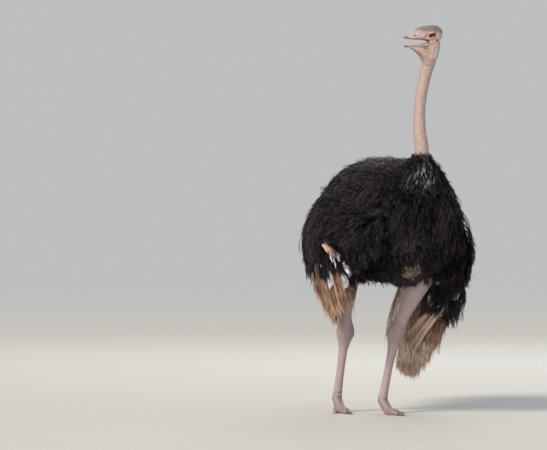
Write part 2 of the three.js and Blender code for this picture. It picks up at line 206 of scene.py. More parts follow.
# %% Copies of the solids, and modifiers applied as soon as they are set
def copy_of(name):
    """A new object with a copy of a solid's mesh."""
    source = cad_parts[name]
    made = bpy.data.objects.new("copy_" + name, source.data.copy())
    bpy.context.collection.objects.link(made)
    made.data.materials.clear()
    return made


def choose(*objects):
    """Selects only these objects, and makes the first one active."""
    if bpy.context.object and bpy.context.object.mode != "OBJECT":
        bpy.ops.object.mode_set(mode="OBJECT")
    bpy.ops.object.select_all(action="DESELECT")
    for thing in objects:
        thing.select_set(True)
    bpy.context.view_layer.objects.active = objects[0]


def joined(name, parts):
    """Several objects as one, with merged corners."""
    choose(*parts)
    if len(parts) > 1:
        bpy.ops.object.join()
    made = bpy.context.object
    made.name = name
    made.data.name = name
    bpy.ops.object.mode_set(mode="EDIT")
    bpy.ops.mesh.select_all(action="SELECT")
    bpy.ops.mesh.remove_doubles(threshold=0.02 * MM)
    bpy.ops.object.mode_set(mode="OBJECT")
    return made


def modify(thing, kind, **settings):
    """Adds one modifier and applies it."""
    choose(thing)
    made = thing.modifiers.new(kind.lower(), kind)
    for name, value in settings.items():
        setattr(made, name, value)
    bpy.ops.object.modifier_apply(modifier=made.name)


def corners(thing):
    """The vertices of a mesh as an array."""
    flat = np.empty(len(thing.data.vertices) * 3, np.float32)
    thing.data.vertices.foreach_get("co", flat)
    return flat.reshape(-1, 3).astype(float)


def facing(thing):
    """The vertex normals of a mesh as an array."""
    flat = np.empty(len(thing.data.vertices) * 3, np.float32)
    thing.data.vertex_normals.foreach_get("vector", flat)
    return flat.reshape(-1, 3).astype(float)


def move_corners(thing, places):
    thing.data.vertices.foreach_set("co", places.astype(np.float32).ravel())
    thing.data.update()


def shade_smooth(thing):
    thing.data.polygons.foreach_set("use_smooth", np.ones(len(thing.data.polygons), bool))


# %% Measures that many steps use
def middle(name):
    low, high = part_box(name)
    return np.array((low + high) / 2)


def smooth_step(value, start, end):
    """0 before start and 1 after end, with a soft slope between them. It also runs backwards."""
    t = np.clip((value - start) / (end - start), 0, 1)
    return t * t * (3 - 2 * t)


def unit(vectors):
    return vectors / np.maximum(np.linalg.norm(vectors, axis=-1, keepdims=True), 1e-9)


def tangent(vectors, normals):
    """The part of each vector that lies along the surface, with length one."""
    return unit(vectors - normals * np.sum(vectors * normals, -1, keepdims=True))


def surface_tree(thing):
    """A tree that answers where a ray or a nearest place falls on a mesh."""
    return BVHTree.FromObject(thing, bpy.context.evaluated_depsgraph_get())


def from_line(points, a, b):
    """How far each point is from the stretch of line between a and b."""
    a, b = np.asarray(a, float), np.asarray(b, float)
    t = np.clip((points - a) @ (b - a) / ((b - a) @ (b - a)), 0, 1)
    return np.linalg.norm(points - a - t[:, None] * (b - a), axis=1)


SIDES = ("left", "right")
hip = {"left": np.array((0.221, -0.212, 0.960)), "right": np.array((-0.237, 0.032, 0.960))}
hock = {"left": np.array((0.086, -0.030, 0.490)), "right": np.array((-0.171, 0.134, 0.494))}
hand = {
    "left": (np.array((0.418, -0.207, 0.780)), np.array((0.389, -0.211, 0.718))),
    "right": (np.array((-0.473, -0.170, 1.030)), np.array((-0.441, -0.282, 0.958))),
}
collar_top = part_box("neck_lower")[0].z
COAT = {"body": 34 * MM, "tail": 44 * MM, "drape": 15 * MM, "collar": 18 * MM, "neck": 1.2 * MM}


def coat_depth(points):
    """How deep the coat lies on each point of the outer form."""
    x, y, z = points.T
    depth = np.where(y > 0.52, COAT["tail"], COAT["body"])
    depth += (COAT["drape"] - depth) * smooth_step(z, 0.86, 0.62) * (x > 0.30)
    at_neck = y < -0.36
    depth += (COAT["collar"] - depth) * smooth_step(z, 1.34, 1.47) * at_neck
    depth += (COAT["neck"] - depth) * smooth_step(z, collar_top - 0.030, collar_top) * at_neck
    for side in SIDES:
        on_leg = smooth_step(from_line(points, hip[side], hock[side]), 0.17, 0.10)
        on_leg *= smooth_step(z, 0.90, 0.80) * ~((z < 0.86) & (x > 0.30))
        depth *= 1 - np.maximum(on_leg, z < 0.54)
        depth *= smooth_step(from_line(points, *hand[side]), 0.020, 0.055)
    return depth


# %% The skin's form
FLESH = ["trunk", "neck_collar", "tail", "neck_lower", "neck_middle", "neck_upper"]
FLESH += ["head", "bill_upper", "bill_lower"]
FLESH += [part + "_" + side for side in SIDES for part in ("wing", "wing_hand", "drumstick", "shank")]
FLESH += [part + "_" + side for side in SIDES for part in ("toe_inner", "toe_outer")]
SKIN_GRAIN = 5 * MM
skin = joined("skin", [copy_of(name) for name in FLESH])
modify(skin, "REMESH", mode="VOXEL", voxel_size=SKIN_GRAIN)
modify(skin, "SMOOTH", factor=0.5, iterations=8)
print("skin remeshed to", len(skin.data.vertices), "corners")


# %% [markdown]
# The coat's depth is taken off in small steps. After each step the hidden skin is relaxed, so thin
# edges such as the wing's rim melt away instead of turning inside out.

# %% The skin sinks under the coat
def edge_ends(thing):
    flat = np.empty(len(thing.data.edges) * 2, np.int32)
    thing.data.edges.foreach_get("vertices", flat)
    return flat.reshape(-1, 2)


def relaxed(places, ends, strength, rounds):
    """Each corner moves towards the mean of its neighbours, by its own strength."""
    count = np.maximum(np.bincount(ends.ravel(), minlength=len(places)), 1)[:, None]
    both = np.concatenate((ends, ends[:, ::-1]))
    for _ in range(rounds):
        total = np.stack([np.bincount(both[:, 0], places[both[:, 1], k], len(places)) for k in range(3)], 1)
        places = places + strength[:, None] * (total / count - places)
    return places


STEPS = 6
NECK_RIM, LEG_RIM, RIM_GAP = 2.060, 0.565, 2 * MM  # above and below these heights a finer mesh takes over
ends = edge_ends(skin)
outer = corners(skin)
depth = coat_depth(outer)
hidden = smooth_step(depth, 4 * MM, 14 * MM)
for _ in range(STEPS):
    move_corners(skin, relaxed(corners(skin), ends, 0.6 * hidden, 5))
    move_corners(skin, corners(skin) - facing(skin) * (depth / STEPS)[:, None])
move_corners(skin, relaxed(corners(skin), ends, 0.6 * hidden, 12))
covered = skin.vertex_groups.new(name="covered")
above, below = outer[:, 2] > NECK_RIM + 15 * MM, outer[:, 2] < LEG_RIM - 15 * MM
hidden[above | below & (np.abs(outer[:, 0]) < 0.30)] = 1
for level in (0.25, 0.5, 1.0):
    covered.add(np.nonzero(hidden >= level)[0].tolist(), level, "REPLACE")
modify(skin, "DECIMATE", ratio=0.115, vertex_group="covered", vertex_group_factor=1.0)
print("skin after sinking:", len(skin.data.vertices), "corners,", len(skin.data.polygons), "faces")

# %% [markdown]
# ## Finer grain where it shows
# The bare head, and the legs from the hock down, need a finer mesh than the hidden body. Each is
# remeshed on its own with a smaller cube. Bisect cuts both meshes level, close to one height. The
# coarse end is thrown away, and Bridge Edge Loops sews the two open rims into one surface again.

# %% A level cut, and a bridge between two rims
def cut_level(thing, height, keep_above, chosen=None):
    """Cuts a mesh level and keeps one side. Only the chosen faces are cut, or all of them."""
    choose(thing)
    mesh = thing.data
    picked = np.ones(len(mesh.polygons), bool) if chosen is None else chosen
    pick(thing, picked)
    bpy.ops.object.mode_set(mode="EDIT")
    bpy.ops.mesh.bisect(
        plane_co=(0, 0, height), plane_no=(0, 0, 1), clear_inner=keep_above, clear_outer=not keep_above)
    bpy.ops.object.mode_set(mode="OBJECT")


def pick(thing, faces):
    """Selects only these faces, given as a true or false for each."""
    mesh = thing.data
    bpy.context.tool_settings.mesh_select_mode = (False, False, True)
    mesh.vertices.foreach_set("select", np.zeros(len(mesh.vertices), bool))
    mesh.edges.foreach_set("select", np.zeros(len(mesh.edges), bool))
    mesh.polygons.foreach_set("select", faces)


def face_middles(thing):
    flat = np.empty(len(thing.data.polygons) * 3, np.float32)
    thing.data.polygons.foreach_get("center", flat)
    return flat.reshape(-1, 3).astype(float)


def open_edges(thing):
    """True for each edge that only one face uses."""
    mesh = thing.data
    loops = np.empty(len(mesh.loops), np.int32)
    mesh.loops.foreach_get("edge_index", loops)
    return np.bincount(loops, minlength=len(mesh.edges)) == 1


def sewn(thing, height, centre, reach):
    """Bridges the two open rims near a height and within reach of a centre."""
    mesh = thing.data
    lone = open_edges(thing)
    mids = corners(thing)[edge_ends(thing)].mean(1)
    near = np.abs(mids[:, 2] - height) < 3 * MM
    near &= np.linalg.norm(mids[:, :2] - centre[:2], axis=1) < reach
    choose(thing)
    bpy.context.tool_settings.mesh_select_mode = (False, True, False)
    mesh.vertices.foreach_set("select", np.zeros(len(mesh.vertices), bool))
    mesh.polygons.foreach_set("select", np.zeros(len(mesh.polygons), bool))
    mesh.edges.foreach_set("select", lone & near)
    bpy.ops.object.mode_set(mode="EDIT")
    bpy.ops.mesh.bridge_edge_loops()
    bpy.ops.object.mode_set(mode="OBJECT")
    return int((lone & near).sum())


# %% Finer head and legs
HEAD_GRAIN, LEG_GRAIN = 2.1 * MM, 4.0 * MM
RIM_REACH = 0.12  # a rim lies within this of its limb's middle
neck_at = np.array((0.030, -0.560, NECK_RIM))
leg_at = {side: hock[side] + (hip[side] - hock[side]) * 0.16 for side in SIDES}

HEAD_SOLIDS = ("neck_middle", "neck_upper", "head", "bill_upper", "bill_lower", "eye_left", "eye_right")
LEG_PARTS = ("drumstick", "shank", "toe_inner", "toe_outer")
LEG_SOLIDS = [part + "_" + side for side in SIDES for part in LEG_PARTS]
fine_head = joined("fine_head", [copy_of(name) for name in HEAD_SOLIDS])
modify(fine_head, "REMESH", mode="VOXEL", voxel_size=HEAD_GRAIN)
modify(fine_head, "SMOOTH", factor=0.5, iterations=14)
cut_level(fine_head, NECK_RIM + RIM_GAP, True)
fine_legs = joined("fine_legs", [copy_of(name) for name in LEG_SOLIDS])
modify(fine_legs, "REMESH", mode="VOXEL", voxel_size=LEG_GRAIN)
modify(fine_legs, "SMOOTH", factor=0.5, iterations=10)
cut_level(fine_legs, LEG_RIM - RIM_GAP, False)
cut_level(skin, NECK_RIM, False)
places = face_middles(skin)
on_leg = np.zeros(len(places), bool)
for side in SIDES:
    beside = np.linalg.norm(places[:, :2] - leg_at[side][:2], axis=1)
    on_leg |= (beside < 0.16) & (places[:, 2] < LEG_RIM + 0.05)
on_leg |= places[:, 2] < 0.45
cut_level(skin, LEG_RIM, True, on_leg)
skin = joined("skin", [skin, fine_head, fine_legs])
print("neck rim edges:", sewn(skin, NECK_RIM, neck_at, RIM_REACH))
for side in SIDES:
    print(side, "leg rim edges:", sewn(skin, LEG_RIM, leg_at[side], RIM_REACH))
choose(skin)
bpy.ops.object.mode_set(mode="EDIT")
bpy.ops.mesh.select_all(action="SELECT")
bpy.ops.mesh.delete_loose()
bpy.ops.mesh.select_all(action="SELECT")
bpy.ops.mesh.normals_make_consistent(inside=False)
bpy.ops.object.mode_set(mode="OBJECT")
places = corners(skin)
by_neck_rim, by_leg_rim = (
    smooth_step(np.abs(places[:, 2] - rim_height), 14 * MM, 4 * MM) for rim_height in (NECK_RIM, LEG_RIM))
near_rim = np.maximum(by_neck_rim, by_leg_rim * (np.abs(places[:, 0]) < 0.26))
move_corners(skin, relaxed(places, edge_ends(skin), 0.6 * near_rim, 10))

# %% Knuckled hocks
# The hock is a knot of bone and tendon, wider than the shank on all sides.
KNUCKLE, KNUCKLE_REACH = 18 * MM, 60 * MM
places = corners(skin)
to_hock = np.min([np.linalg.norm(places - hock[side], axis=1) for side in SIDES], 0)
move_corners(skin, places + facing(skin) * (KNUCKLE * np.exp(-((to_hock / KNUCKLE_REACH) ** 2)))[:, None])
print("skin with fine head and legs:", len(skin.data.vertices), "corners")
print("open edges:", int(open_edges(skin).sum()))

# %% [markdown]
# ## The head
# The head is turned to the bird's right, so it is shaped in directions of its own: forward, left and
# up from the point midway between the eyes, in millimetres. The faces round each eye are subdivided
# first. Then the lids are drawn over the eyeball, and folds are pressed in along short paths.

# %% The head's own directions
eye_at = {side: middle("eye_" + side) for side in SIDES}
head_at = (eye_at["left"] + eye_at["right"]) / 2
to_left = (eye_at["left"] - eye_at["right"]) / np.linalg.norm(eye_at["left"] - eye_at["right"])
ahead = np.cross(to_left, (0, 0, 1))
head_axes = np.stack((ahead, to_left, (0.0, 0.0, 1.0)))
SIGN = {"left": 1, "right": -1}


def in_head(points):
    return (points - head_at) @ head_axes.T / MM


def from_head(local):
    return head_at + (local * MM) @ head_axes


EYE_RADIUS, EYE_OUT = 24.0, float(np.linalg.norm(eye_at["left"] - head_at)) / MM
LID_HALF, LID_TOP, LID_BOTTOM, LID_TILT = 20.5, 10.0, 13.0, math.radians(8)


def round_eye(local, side):
    """How far round an eye's opening each point lies (1 is the lid's edge), and its place there."""
    turn_c, turn_s = math.cos(LID_TILT), math.sin(LID_TILT)
    along = local[:, 0] * turn_c - local[:, 2] * turn_s
    above = local[:, 0] * turn_s + local[:, 2] * turn_c
    out = SIGN[side] * local[:, 1] - EYE_OUT
    ring = np.hypot(along / LID_HALF, above / np.where(above > 0, LID_TOP, LID_BOTTOM))
    return np.where(out > 0, ring, 99.0), along, above, out


def from_eye(along, above, out, side):
    """Places in the head's own directions, from places round one eye's opening."""
    turn_c, turn_s = math.cos(LID_TILT), math.sin(LID_TILT)
    sideways = SIGN[side] * (out + EYE_OUT)
    return np.stack((along * turn_c + above * turn_s, sideways, above * turn_c - along * turn_s), 1)


def nearer_ring(local):
    """How far round the nearer eye's opening each point lies."""
    return np.minimum(round_eye(local, "left")[0], round_eye(local, "right")[0])


def from_path(local, path):
    """How far each point is from a path of forward and up, as seen from the side."""
    flat = local * (1, 0, 1)
    return np.min([from_line(flat, (a[0], 0, a[1]), (b[0], 0, b[1])) for a, b in zip(path, path[1:])], 0)


def hill(value, middle_value, width):
    """1 at a middle value, and falling off softly on both sides."""
    return np.exp(-(((value - middle_value) / width) ** 2))


print("head faces", ahead.round(2), "eyes are", round(2 * EYE_OUT), "mm apart")


# %% Facets melt away, the eyes get finer faces
def softened(thing, weight, rounds):
    """Smooths without shrinking: each step in is followed by a slightly larger step out."""
    used = np.nonzero(weight > 0.001)[0]
    number = np.full(len(weight), -1)
    number[used] = np.arange(len(used))
    ends = number[edge_ends(thing)]
    ends = ends[(ends >= 0).all(1)]
    places = corners(thing)
    part = places[used]
    for _ in range(rounds):
        part = relaxed(part, ends, 0.60 * weight[used], 1)
        part = relaxed(part, ends, -0.615 * weight[used], 1)
    places[used] = part
    move_corners(thing, places)


def away_from_detail(local):
    """1 on the open skull, throat and neck, and 0 at the bill, nostrils, mouth and ears."""
    forward, height = local[:, 0], local[:, 2]
    from_gape = np.abs(height + 42 + 0.1 * forward) + (forward < 8) * 60
    calm = smooth_step(forward, 62, 40) * smooth_step(from_gape, 10, 24)
    ear = np.linalg.norm(local[:, (0, 2)] - np.array((-36, -30)), axis=1)
    return calm * smooth_step(ear, 13, 20)


local = in_head(corners(skin))
of_head = smooth_step(corners(skin)[:, 2], NECK_RIM, NECK_RIM + 0.02)
softened(skin, of_head * away_from_detail(local), 130)
softened(skin, smooth_step(corners(skin)[:, 2], LEG_RIM, LEG_RIM - 0.02), 70)
softened(skin, smooth_step(corners(skin)[:, 2], 1.45, 1.50) * (1 - of_head), 40)
face_local = in_head(face_middles(skin))
near_eye = nearer_ring(face_local) < 2.3
near_eye &= np.abs(face_local[:, 0]) < 60
choose(skin)
pick(skin, near_eye)
bpy.ops.object.mode_set(mode="EDIT")
bpy.ops.mesh.subdivide(number_cuts=1, smoothness=0.6)
bpy.ops.object.mode_set(mode="OBJECT")
print(int(near_eye.sum()), "faces near the eyes cut finer")

# %% Lids, brow and the rings of loose skin round the eye
local = in_head(corners(skin))
for side in SIDES:
    ring, along, above, out = round_eye(local, side)
    near = ring < 3
    snap = np.where((ring > 0.84) & (ring < 1.13), 1 / ring, 1.0)
    along, above = along * snap, above * snap
    flat = along**2 + above**2
    lid = np.sqrt(np.maximum((EYE_RADIUS + 0.5 + 2.4 * smooth_step(ring, 0.98, 1.3)) ** 2 - flat, 30))
    behind = np.sqrt(np.maximum((EYE_RADIUS - 4.5) ** 2 - flat, 0))
    out = np.where(ring < 0.84, behind, out + (lid - out) * smooth_step(ring, 2.3, 1.35))
    over, under = smooth_step(above, -2, 5), smooth_step(above, 2, -5)
    out += over * (2.6 * hill(ring, 2.05, 0.42) - 1.5 * hill(ring, 1.5, 0.12))
    out -= under * (1.1 * hill(ring, 1.42, 0.09) + 0.8 * hill(ring, 1.75, 0.09) + 0.5 * hill(ring, 2.1, 0.1))
    local[near] = from_eye(along, above, out, side)[near]
move_corners(skin, from_head(local))

# %% Folds: each is a path in forward and up, a depth and a width
NOSTRIL = ([(107, -1), (86, -8)], 5.0, 3.4)
FOLDS = [
    ([(124, -66), (95, -69), (66, -70), (30, -66), (6, -56)], 1.6, 2.6),  # under the jaw's rim
    ([(20, -36), (4, -48), (-6, -66), (-8, -86)], 1.5, 3.0),  # down from the corner of the mouth
    ([(100, -84), (70, -92), (40, -94)], 0.9, 2.4),  # wrinkles of the slack throat
    ([(86, -98), (58, -108), (30, -108)], 0.8, 2.4),
    ([(66, -118), (44, -126), (20, -124)], 0.7, 2.6),
    ([(70, 2), (48, 4), (30, 10)], 1.3, 3.5),  # the hollow in front of the eye
    ([(-24, -14), (-34, 2), (-30, 20)], 0.8, 2.4),  # behind the eye
    ([(60, 26), (40, 34), (18, 36)], 0.6, 2.5),
]


def pressed(thing, folds):
    """Presses each fold into a surface, along its normals, on both sides of the head."""
    local, out = in_head(corners(thing)), facing(thing)
    sideways = smooth_step(np.abs(out @ to_left), 0.15, 0.5)
    sink = np.zeros(len(local))
    for path, depth, width in folds:
        gap = from_path(local, path)
        sink += depth * hill(gap, 0, width) - 0.35 * depth * hill(gap, 2.1 * width, 0.8 * width)
    sink *= sideways * (local[:, 2] > -160) * (np.abs(local[:, 0]) < 180)
    move_corners(thing, corners(thing) - out * (sink * MM)[:, None])


pressed(skin, FOLDS + [NOSTRIL])
print("folds pressed:", len(FOLDS), "and the skin now has", len(skin.data.vertices), "corners")

# %% The ear openings: a hole behind and below each eye, with a raised oval rim
EAR_AT, EAR_HALF = (-35.0, -30.0), (9.0, 12.0)
local, out = in_head(corners(skin)), facing(skin)
ear_ring = np.hypot((local[:, 0] - EAR_AT[0]) / EAR_HALF[0], (local[:, 2] - EAR_AT[1]) / EAR_HALF[1])
ear_lift = 2.6 * hill(ear_ring, 1.0, 0.28) - 7.0 * smooth_step(ear_ring, 0.8, 0.35)
ear_lift *= (np.abs(local[:, 1]) > 15) & (ear_ring < 2)
move_corners(skin, corners(skin) + out * (ear_lift * MM)[:, None])

# %% [markdown]
# ## The skin's finish
# Each kind of skin is a weight from 0 to 1 at every corner: the grey crown, the red lips, the pale
# nape, the scaly legs, and near-black painted shade on the skin under the coat. The material mixes one
# colour for each weight, then adds mottling, pores and wrinkles at their real size. So the same marks
# hold from every side.

# %% Weights for the kinds of skin
def mark(thing, name, values):
    """Stores one number for each corner, which the material reads by name."""
    thing.data.attributes.new(name, "FLOAT", "POINT").data.foreach_set("value", values.astype(np.float32))


UPPER_LIP = [(120, -23), (84, -25), (58, -29), (22, -39)]
LOWER_LIP = [(126, -60), (80, -51), (50, -46), (22, -41)]
LIP_WIDTH = 6.0


def head_weights(thing):
    """The kinds of skin on the head, by place."""
    local = in_head(corners(thing))
    out = facing(thing) @ head_axes.T
    forward, height = local[:, 0], local[:, 2]
    on_head = smooth_step(height, -175, -120)
    ring = nearer_ring(local)
    gape_middle = np.interp(forward, (18, 160), (-40, -38))
    inside = smooth_step(np.abs(height - gape_middle), np.interp(forward, (15, 160), (14, 36)) + 4, 2.0)
    inward = smooth_step(out[:, 2] * -np.sign(height - gape_middle), 0.1, 0.55)
    from_lips = np.minimum(from_path(local, UPPER_LIP), from_path(local, LOWER_LIP))
    behind = smooth_step(forward + 0.25 * height, -44, -62)
    weights = {
        # Inside the gape: the red lining, darkened with painted shade.
        "mouth": (forward > 12) * inside * inward,
        "lips": 0.85 * smooth_step(from_lips, LIP_WIDTH, 0.3 * LIP_WIDTH),
        "eye_rim": smooth_step(ring, 1.22, 1.0) * on_head,
        "eye_ring": smooth_step(ring, 2.1, 1.3) * on_head,
        "crown": smooth_step(height, 14, 34) * on_head * smooth_step(ring, 1.7, 2.4),
        "nape": behind * smooth_step(height, 12, -16) * smooth_step(height, -135, -90),
        "throat": smooth_step(out[:, 0], 0.15, 0.7) * smooth_step(height, -62, -84) * on_head,
        "cheek": hill(forward, -2, 26) * hill(height, -38, 16) * on_head,
        # The ear opening is painted dark: painted shade in the hole.
        "ear_hole_shade": smooth_step(np.hypot(forward - EAR_AT[0], height - EAR_AT[1]), 9, 4) * on_head,
        "bill_tip": smooth_step(forward, 128, 150) * on_head,
    }
    return {name: np.clip(value, 0, 1) for name, value in weights.items()}


places, out = corners(skin), facing(skin)
for name, weight in head_weights(skin).items():
    mark(skin, name, weight)
# Under the coat and the collar the skin is painted near black: painted shade between the plumes.
under = smooth_step(coat_depth(places + out * 6 * MM), 3 * MM, 12 * MM)
collar_shade = smooth_step(places[:, 2], collar_top + 0.010, collar_top - 0.012)
under = np.maximum(under, collar_shade * (places[:, 2] > 1.45) * (places[:, 1] < -0.36))
mark(skin, "coat_shade", under * (places[:, 2] < collar_top + 0.012))
mark(skin, "under_tail", smooth_step(places[:, 1], 0.50, 0.56) * smooth_step(places[:, 2], 1.15, 1.05))
mark(skin, "leg", smooth_step(places[:, 2], 0.90, 0.80))
shin_front = smooth_step(-out[:, 1], 0.2, 0.9)
mark(skin, "shin", 0.8 * shin_front * smooth_step(places[:, 2], 0.42, 0.08))
hock_near = np.min([np.linalg.norm(places - hock[s], axis=1) for s in SIDES], 0)
mark(skin, "hock", smooth_step(hock_near, 0.11, 0.05))
right_leg = places[:, 0] < 0
# Tan on the upper thighs: partly down, partly painted shade under the belly and the wing.
downy_and_shaded = np.where(right_leg, smooth_step(places[:, 2], 0.62, 0.76), smooth_step(places[:, 2], 0.78, 0.88))
mark(skin, "thigh_down_and_shade", downy_and_shaded * (places[:, 2] < 0.93))
mark(skin, "foot", smooth_step(places[:, 2], 0.13, 0.07))
hand_near = np.min([from_line(places, *hand[s]) for s in SIDES], 0)
mark(skin, "hand", smooth_step(hand_near, 0.060, 0.036))
print("skin weights:", len(skin.data.attributes))


# %% Colours mixed by weight, then mottled
def layered(tree, base, layers):
    """A base colour with more colours laid over it, each by the weight of one attribute."""
    colour = linear(base)
    for name, hex_code in layers:
        weight = node(tree, "ShaderNodeAttribute", attribute_name=name)
        laid = node(tree, "ShaderNodeMix", {
            "Factor": weight.outputs["Fac"], "A": colour, "B": linear(hex_code)}, data_type="RGBA")
        colour = laid.outputs["Result"]
    return colour


def mottled(tree, colour, size, dark, light):
    """Lightens and darkens a colour in soft patches of about this size."""
    place = node(tree, "ShaderNodeTexCoord")
    noise = node(tree, "ShaderNodeTexNoise", {
        "Vector": place.outputs["Object"], "Scale": 1 / size, "Detail": 4.0})
    level = node(tree, "ShaderNodeMapRange", {
        "Value": noise.outputs["Fac"], "From Min": 0.3, "From Max": 0.7, "To Min": dark, "To Max": light})
    return node(tree, "ShaderNodeMix", {"Factor": 1.0, "A": colour, "B": level.outputs["Result"]},
        data_type="RGBA", blend_type="MULTIPLY").outputs["Result"]


def bumped(tree, shader, *heights):
    """Adds bumps one over another: each is a height, its real depth, and how strongly it shows."""
    normal = None
    for height, depth, strength in heights:
        bump = node(tree, "ShaderNodeBump", {"Height": height, "Distance": depth, "Strength": strength})
        if normal is not None:
            tree.links.new(normal, bump.inputs["Normal"])
        normal = bump.outputs["Normal"]
    tree.links.new(normal, shader.inputs["Normal"])


def grain(tree, size, stretch=(1, 1, 1), kind="ShaderNodeTexNoise", output="Fac", **settings):
    """A pattern with features of a real size, as a height from 0 to 1."""
    place = node(tree, "ShaderNodeTexCoord")
    scaled = node(tree, "ShaderNodeMapping", {"Vector": place.outputs["Object"], "Scale": stretch})
    pattern = node(tree, kind, {"Vector": scaled.outputs["Vector"], "Scale": 1 / size}, **settings)
    return pattern.outputs[output]


skin_finish, tree, shader = new_material("bare bird skin")
# The pink-grey of thin skin, and over it the marks of each place, from large to small.
colour = layered(tree, "#b39c94", [
    ("leg", "#aa9696"), ("hock", "#9d898c"), ("foot", "#8f7d7c"), ("shin", "#a08884"),
    # The thighs' tan is partly down and partly painted shade.
    ("thigh_down_and_shade", "#8f6f54"), ("hand", "#bd9d92"), ("crown", "#988a8b"), ("cheek", "#bd9384"),
    ("throat", "#96786c"), ("nape", "#d2c6c1"), ("eye_ring", "#d8aca0"), ("eye_rim", "#4a3230"),
    # The mouth's dark red is its lining, darkened with painted shade.
    ("lips", "#c58377"), ("bill_tip", "#6a5d5c"), ("mouth", "#752824"),
    # Painted shade: the dark ear opening, and the near-black skin under the coat.
    ("ear_hole_shade", "#5a3a36"), ("coat_shade", "#0b0a0c"), ("under_tail", "#7a614f")])
colour = mottled(tree, colour, 22 * MM, 0.86, 1.06)
colour = mottled(tree, colour, 2.2 * MM, 0.88, 1.05)
tree.links.new(colour, shader.inputs["Base Color"])
# Under the coat the skin is dull, so that no gloss shows between the plumes.
hidden = node(tree, "ShaderNodeAttribute", attribute_name="coat_shade").outputs["Fac"]
for socket, bare, covered_up in (("Roughness", 0.56, 1.0), ("Specular IOR Level", 0.5, 0.0)):
    level = node(tree, "ShaderNodeMapRange", {"Value": hidden, "To Min": bare, "To Max": covered_up})
    tree.links.new(level.outputs["Result"], shader.inputs[socket])
# Ring wrinkles on the neck, goose-flesh where down grows, deep creases at the hocks, and small
# round scales on the legs.
leg_weight = node(tree, "ShaderNodeAttribute", attribute_name="leg").outputs["Fac"]
hock_weight = node(tree, "ShaderNodeAttribute", attribute_name="hock").outputs["Fac"]
scales = grain(tree, 6 * MM, kind="ShaderNodeTexVoronoi", output="Distance", feature="SMOOTH_F1")
creases = grain(tree, 11 * MM, (0.6, 0.6, 1.8))
leg_scales = node(tree, "ShaderNodeMath", {0: scales, 1: leg_weight}, operation="MULTIPLY")
hock_creases = node(tree, "ShaderNodeMath", {0: creases, 1: hock_weight}, operation="MULTIPLY")
bumped(tree, shader,
    (grain(tree, 5 * MM, (0.45, 0.45, 1.6)), 1.6 * MM, 0.55),
    (grain(tree, 1.3 * MM), 0.5 * MM, 0.5),
    (hock_creases.outputs["Value"], 5 * MM, 0.8),
    (leg_scales.outputs["Value"], 1.6 * MM, 0.6))
skin.data.materials.clear()
skin.data.materials.append(skin_finish)
shade_smooth(skin)
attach(skin, "root")
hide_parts("ear_left", "ear_right", *[name for name in FLESH if not name.startswith("bill")])
print("skin finish has", len(tree.nodes), "nodes")

# %% [markdown]
# ## Horn, claws and tongue
# Horn is hard and keeps a crisp form, so the bill and the claws are pieces of their own. Each starts
# as a copy of its solid. A fine voxel remesh and some smoothing turn its facets into curves, and it
# is swollen by less than a millimetre, so that it lies just proud of the skin inside it.

# %% Bill, claws and tongue from their solids
def rounded(name, source, grain_size, rounds, swell):
    """A copy of a solid with rounded facets, standing a little proud."""
    made = joined(name, [copy_of(source)])
    modify(made, "REMESH", mode="VOXEL", voxel_size=grain_size)
    modify(made, "SMOOTH", factor=0.5, iterations=6)
    softened(made, np.ones(len(made.data.vertices)), rounds)
    move_corners(made, corners(made) + facing(made) * swell)
    shade_smooth(made)
    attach(made, "root")
    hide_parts(source)
    return made


bill_upper = rounded("bill_upper_horn", "bill_upper", 1.1 * MM, 18, 0.9 * MM)
bill_lower = rounded("bill_lower_horn", "bill_lower", 1.1 * MM, 18, 0.9 * MM)
pressed(bill_upper, [NOSTRIL])
tongue = rounded("tongue_flesh", "tongue", 1.0 * MM, 20, 0.3 * MM)
nails = [rounded("claw_" + side, "nail_" + side, 1.4 * MM, 14, 0.5 * MM) for side in SIDES]
print("bill", len(bill_upper.data.vertices), "and", len(bill_lower.data.vertices), "corners")

# %% Horn of the bill
horn_finish, tree, shader = new_material("worn bill horn")
# The same colours as the skin at the bill's root, so no line shows where horn begins.
# The mouth's dark red is its lining, darkened with painted shade.
colour = layered(tree, "#b39b93", [("lips", "#c58377"), ("bill_tip", "#675b5a"), ("mouth", "#752824")])
colour = mottled(tree, colour, 9 * MM, 0.84, 1.06)
tree.links.new(colour, shader.inputs["Base Color"])
shader.inputs["Roughness"].default_value = 0.38
bumped(tree, shader, (grain(tree, 4 * MM), 0.5 * MM, 0.4), (grain(tree, 0.8 * MM), 0.2 * MM, 0.4))
for horn in (bill_upper, bill_lower):
    for name, weight in head_weights(horn).items():
        if name in ("lips", "bill_tip", "mouth"):
            mark(horn, name, weight)
    horn.data.materials.append(horn_finish)

# %% Wet tongue, and claws with growth rings
tongue_finish, tree, shader = new_material("wet tongue")
place = node(tree, "ShaderNodeTexCoord")
blush = node(tree, "ShaderNodeTexNoise", {"Vector": place.outputs["Object"], "Scale": 1 / (8 * MM)})
tone = node(tree, "ShaderNodeMix", {
    "Factor": blush.outputs["Fac"], "A": linear("#b4645c"), "B": linear("#c98077")}, data_type="RGBA")
tree.links.new(tone.outputs["Result"], shader.inputs["Base Color"])
shader.inputs["Roughness"].default_value = 0.25
bumped(tree, shader, (grain(tree, 1.5 * MM), 0.4 * MM, 0.5))
tongue.data.materials.append(tongue_finish)

claw_finish, tree, shader = new_material("dull claw keratin")
place = node(tree, "ShaderNodeTexCoord")
streaks = node(tree, "ShaderNodeTexNoise", {
    "Vector": place.outputs["Object"], "Scale": 1 / (7 * MM), "Detail": 5.0})
tone = node(tree, "ShaderNodeMix", {
    "Factor": streaks.outputs["Fac"], "A": linear("#3a322e"), "B": linear("#8a7c70")}, data_type="RGBA")
tree.links.new(tone.outputs["Result"], shader.inputs["Base Color"])
shader.inputs["Roughness"].default_value = 0.5
bumped(tree, shader,
    (grain(tree, 3 * MM, (0.5, 2.2, 0.5)), 0.8 * MM, 0.5),
    (grain(tree, 0.7 * MM), 0.2 * MM, 0.4))
for claw in nails:
    claw.data.materials.append(claw_finish)
